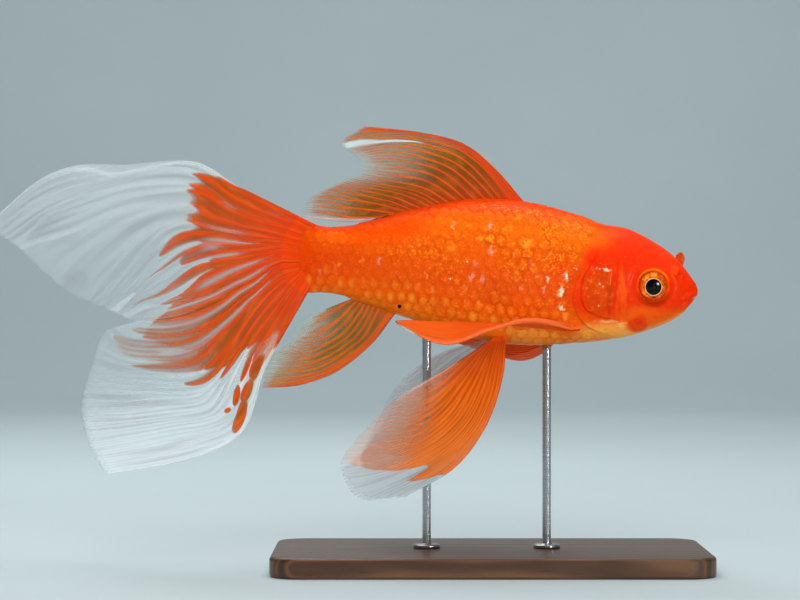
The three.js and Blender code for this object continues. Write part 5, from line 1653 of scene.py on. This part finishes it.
SHEET = {"half_width": 1800.0, "front": -1600.0, "back": 2000.0, "height": 1700.0, "bend": 900.0}
SHEET_MAP = 30.0  # rows to the whole of the sheet's bake map
MIDDLE = (-0.03, 0.0, 0.085)  # of the fish, in metres
RIGHT_EYE = (0.048, -0.009, 0.085)
WALL = (0.0, 2.0, 0.5)
WHITE = (1.0, 1.0, 1.0)
# Each lamp: its name, place and size in metres, power in watts, colour, and how it differs from a plain one.
LIGHTS = [
    ("overhead_softbox", (0.05, 0.08, 0.95), (0.9, 0.6), 5.7, (1.0, 0.98, 0.95), {}),
    ("front_fill", (-0.15, -1.1, 0.75), (0.9, 0.7), 8.8, (1.0, 0.99, 0.97), {"glossy": False}),
    ("rear_glow", (-0.25, 0.5, 0.7), (0.5, 0.4), 2.5, WHITE, {}),
    ("low_fill", (0.0, -0.7, 0.04), (0.8, 0.06), 0.18, (1.0, 0.96, 0.9), {"glossy": False, "spread": 60.0}),
    ("wall_wash", (0.0, 0.8, 1.1), (1.6, 0.2), 8.0, WHITE, {"aim": WALL, "glossy": False}),
    ("catch_light", (0.645, -0.803, 0.19), (0.12, 0.12), 0.11, WHITE, {"aim": RIGHT_EYE, "spread": 40.0}),
]
AIR_TINT = (0.9, 0.95, 1.0, 1.0)
AIR_GLOW = 0.12
CAMERA_PLACE = (-0.027, -0.75, 0.0804)
FIELD_WIDTH = 0.24  # what the frame spans at the fish
SENSOR_WIDTH = 36.0


def make_sheet():
    """A studio sheet that runs back along the floor and curves up behind."""
    bend = SHEET["bend"]
    foot = SHEET["back"] - bend
    line = [(SHEET["front"], 0.0), (foot, 0.0)]
    for angle in np.radians(np.linspace(5, 90, 18)):
        line.append((foot + bend * math.sin(angle), bend - bend * math.cos(angle)))
    line.append((SHEET["back"], SHEET["height"]))
    points = np.array([(x, y, z) for y, z in line for x in (-SHEET["half_width"], SHEET["half_width"])])
    quads, pairs = grid_corners(len(line), 2)
    sheet = make_piece("studio_sheet", points, [quads], [pairs / SHEET_MAP])
    sheet.data.materials.append(studio_material())


def add_light(name, place, size, power, tint, aim=MIDDLE, glossy=True, spread=180.0):
    lamp = bpy.data.lights.new(name, "AREA")
    lamp.shape = "RECTANGLE"
    lamp.size, lamp.size_y = size
    lamp.energy = power
    lamp.color = tint
    lamp.spread = math.radians(spread)
    holder = bpy.data.objects.new(name, lamp)
    holder.location = place
    holder.visible_glossy = glossy
    direction = np.array(aim) - np.array(place)
    flat = math.hypot(direction[0], direction[1])
    holder.rotation_euler = (math.atan2(flat, -direction[2]), 0.0, math.atan2(-direction[0], direction[1]))
    bpy.context.scene.collection.objects.link(holder)


make_sheet()
for name, place, size, power, tint, extra in LIGHTS:
    add_light(name, place, size, power, tint, **extra)

world = bpy.data.worlds.new("studio_air")
world.use_nodes = True
world.node_tree.nodes["Background"].inputs[0].default_value = AIR_TINT
world.node_tree.nodes["Background"].inputs[1].default_value = AIR_GLOW
bpy.context.scene.world = world
bpy.context.scene.view_settings.view_transform = "Standard"

camera_data = bpy.data.cameras.new("camera")
camera_data.sensor_width = SENSOR_WIDTH
camera_data.lens = SENSOR_WIDTH * -CAMERA_PLACE[1] / FIELD_WIDTH
camera_data.clip_start = 0.05
camera = bpy.data.objects.new("camera", camera_data)
camera.location = CAMERA_PLACE
camera.rotation_euler = (math.pi / 2, 0.0, 0.0)
bpy.context.scene.collection.objects.link(camera)
bpy.context.scene.camera = camera
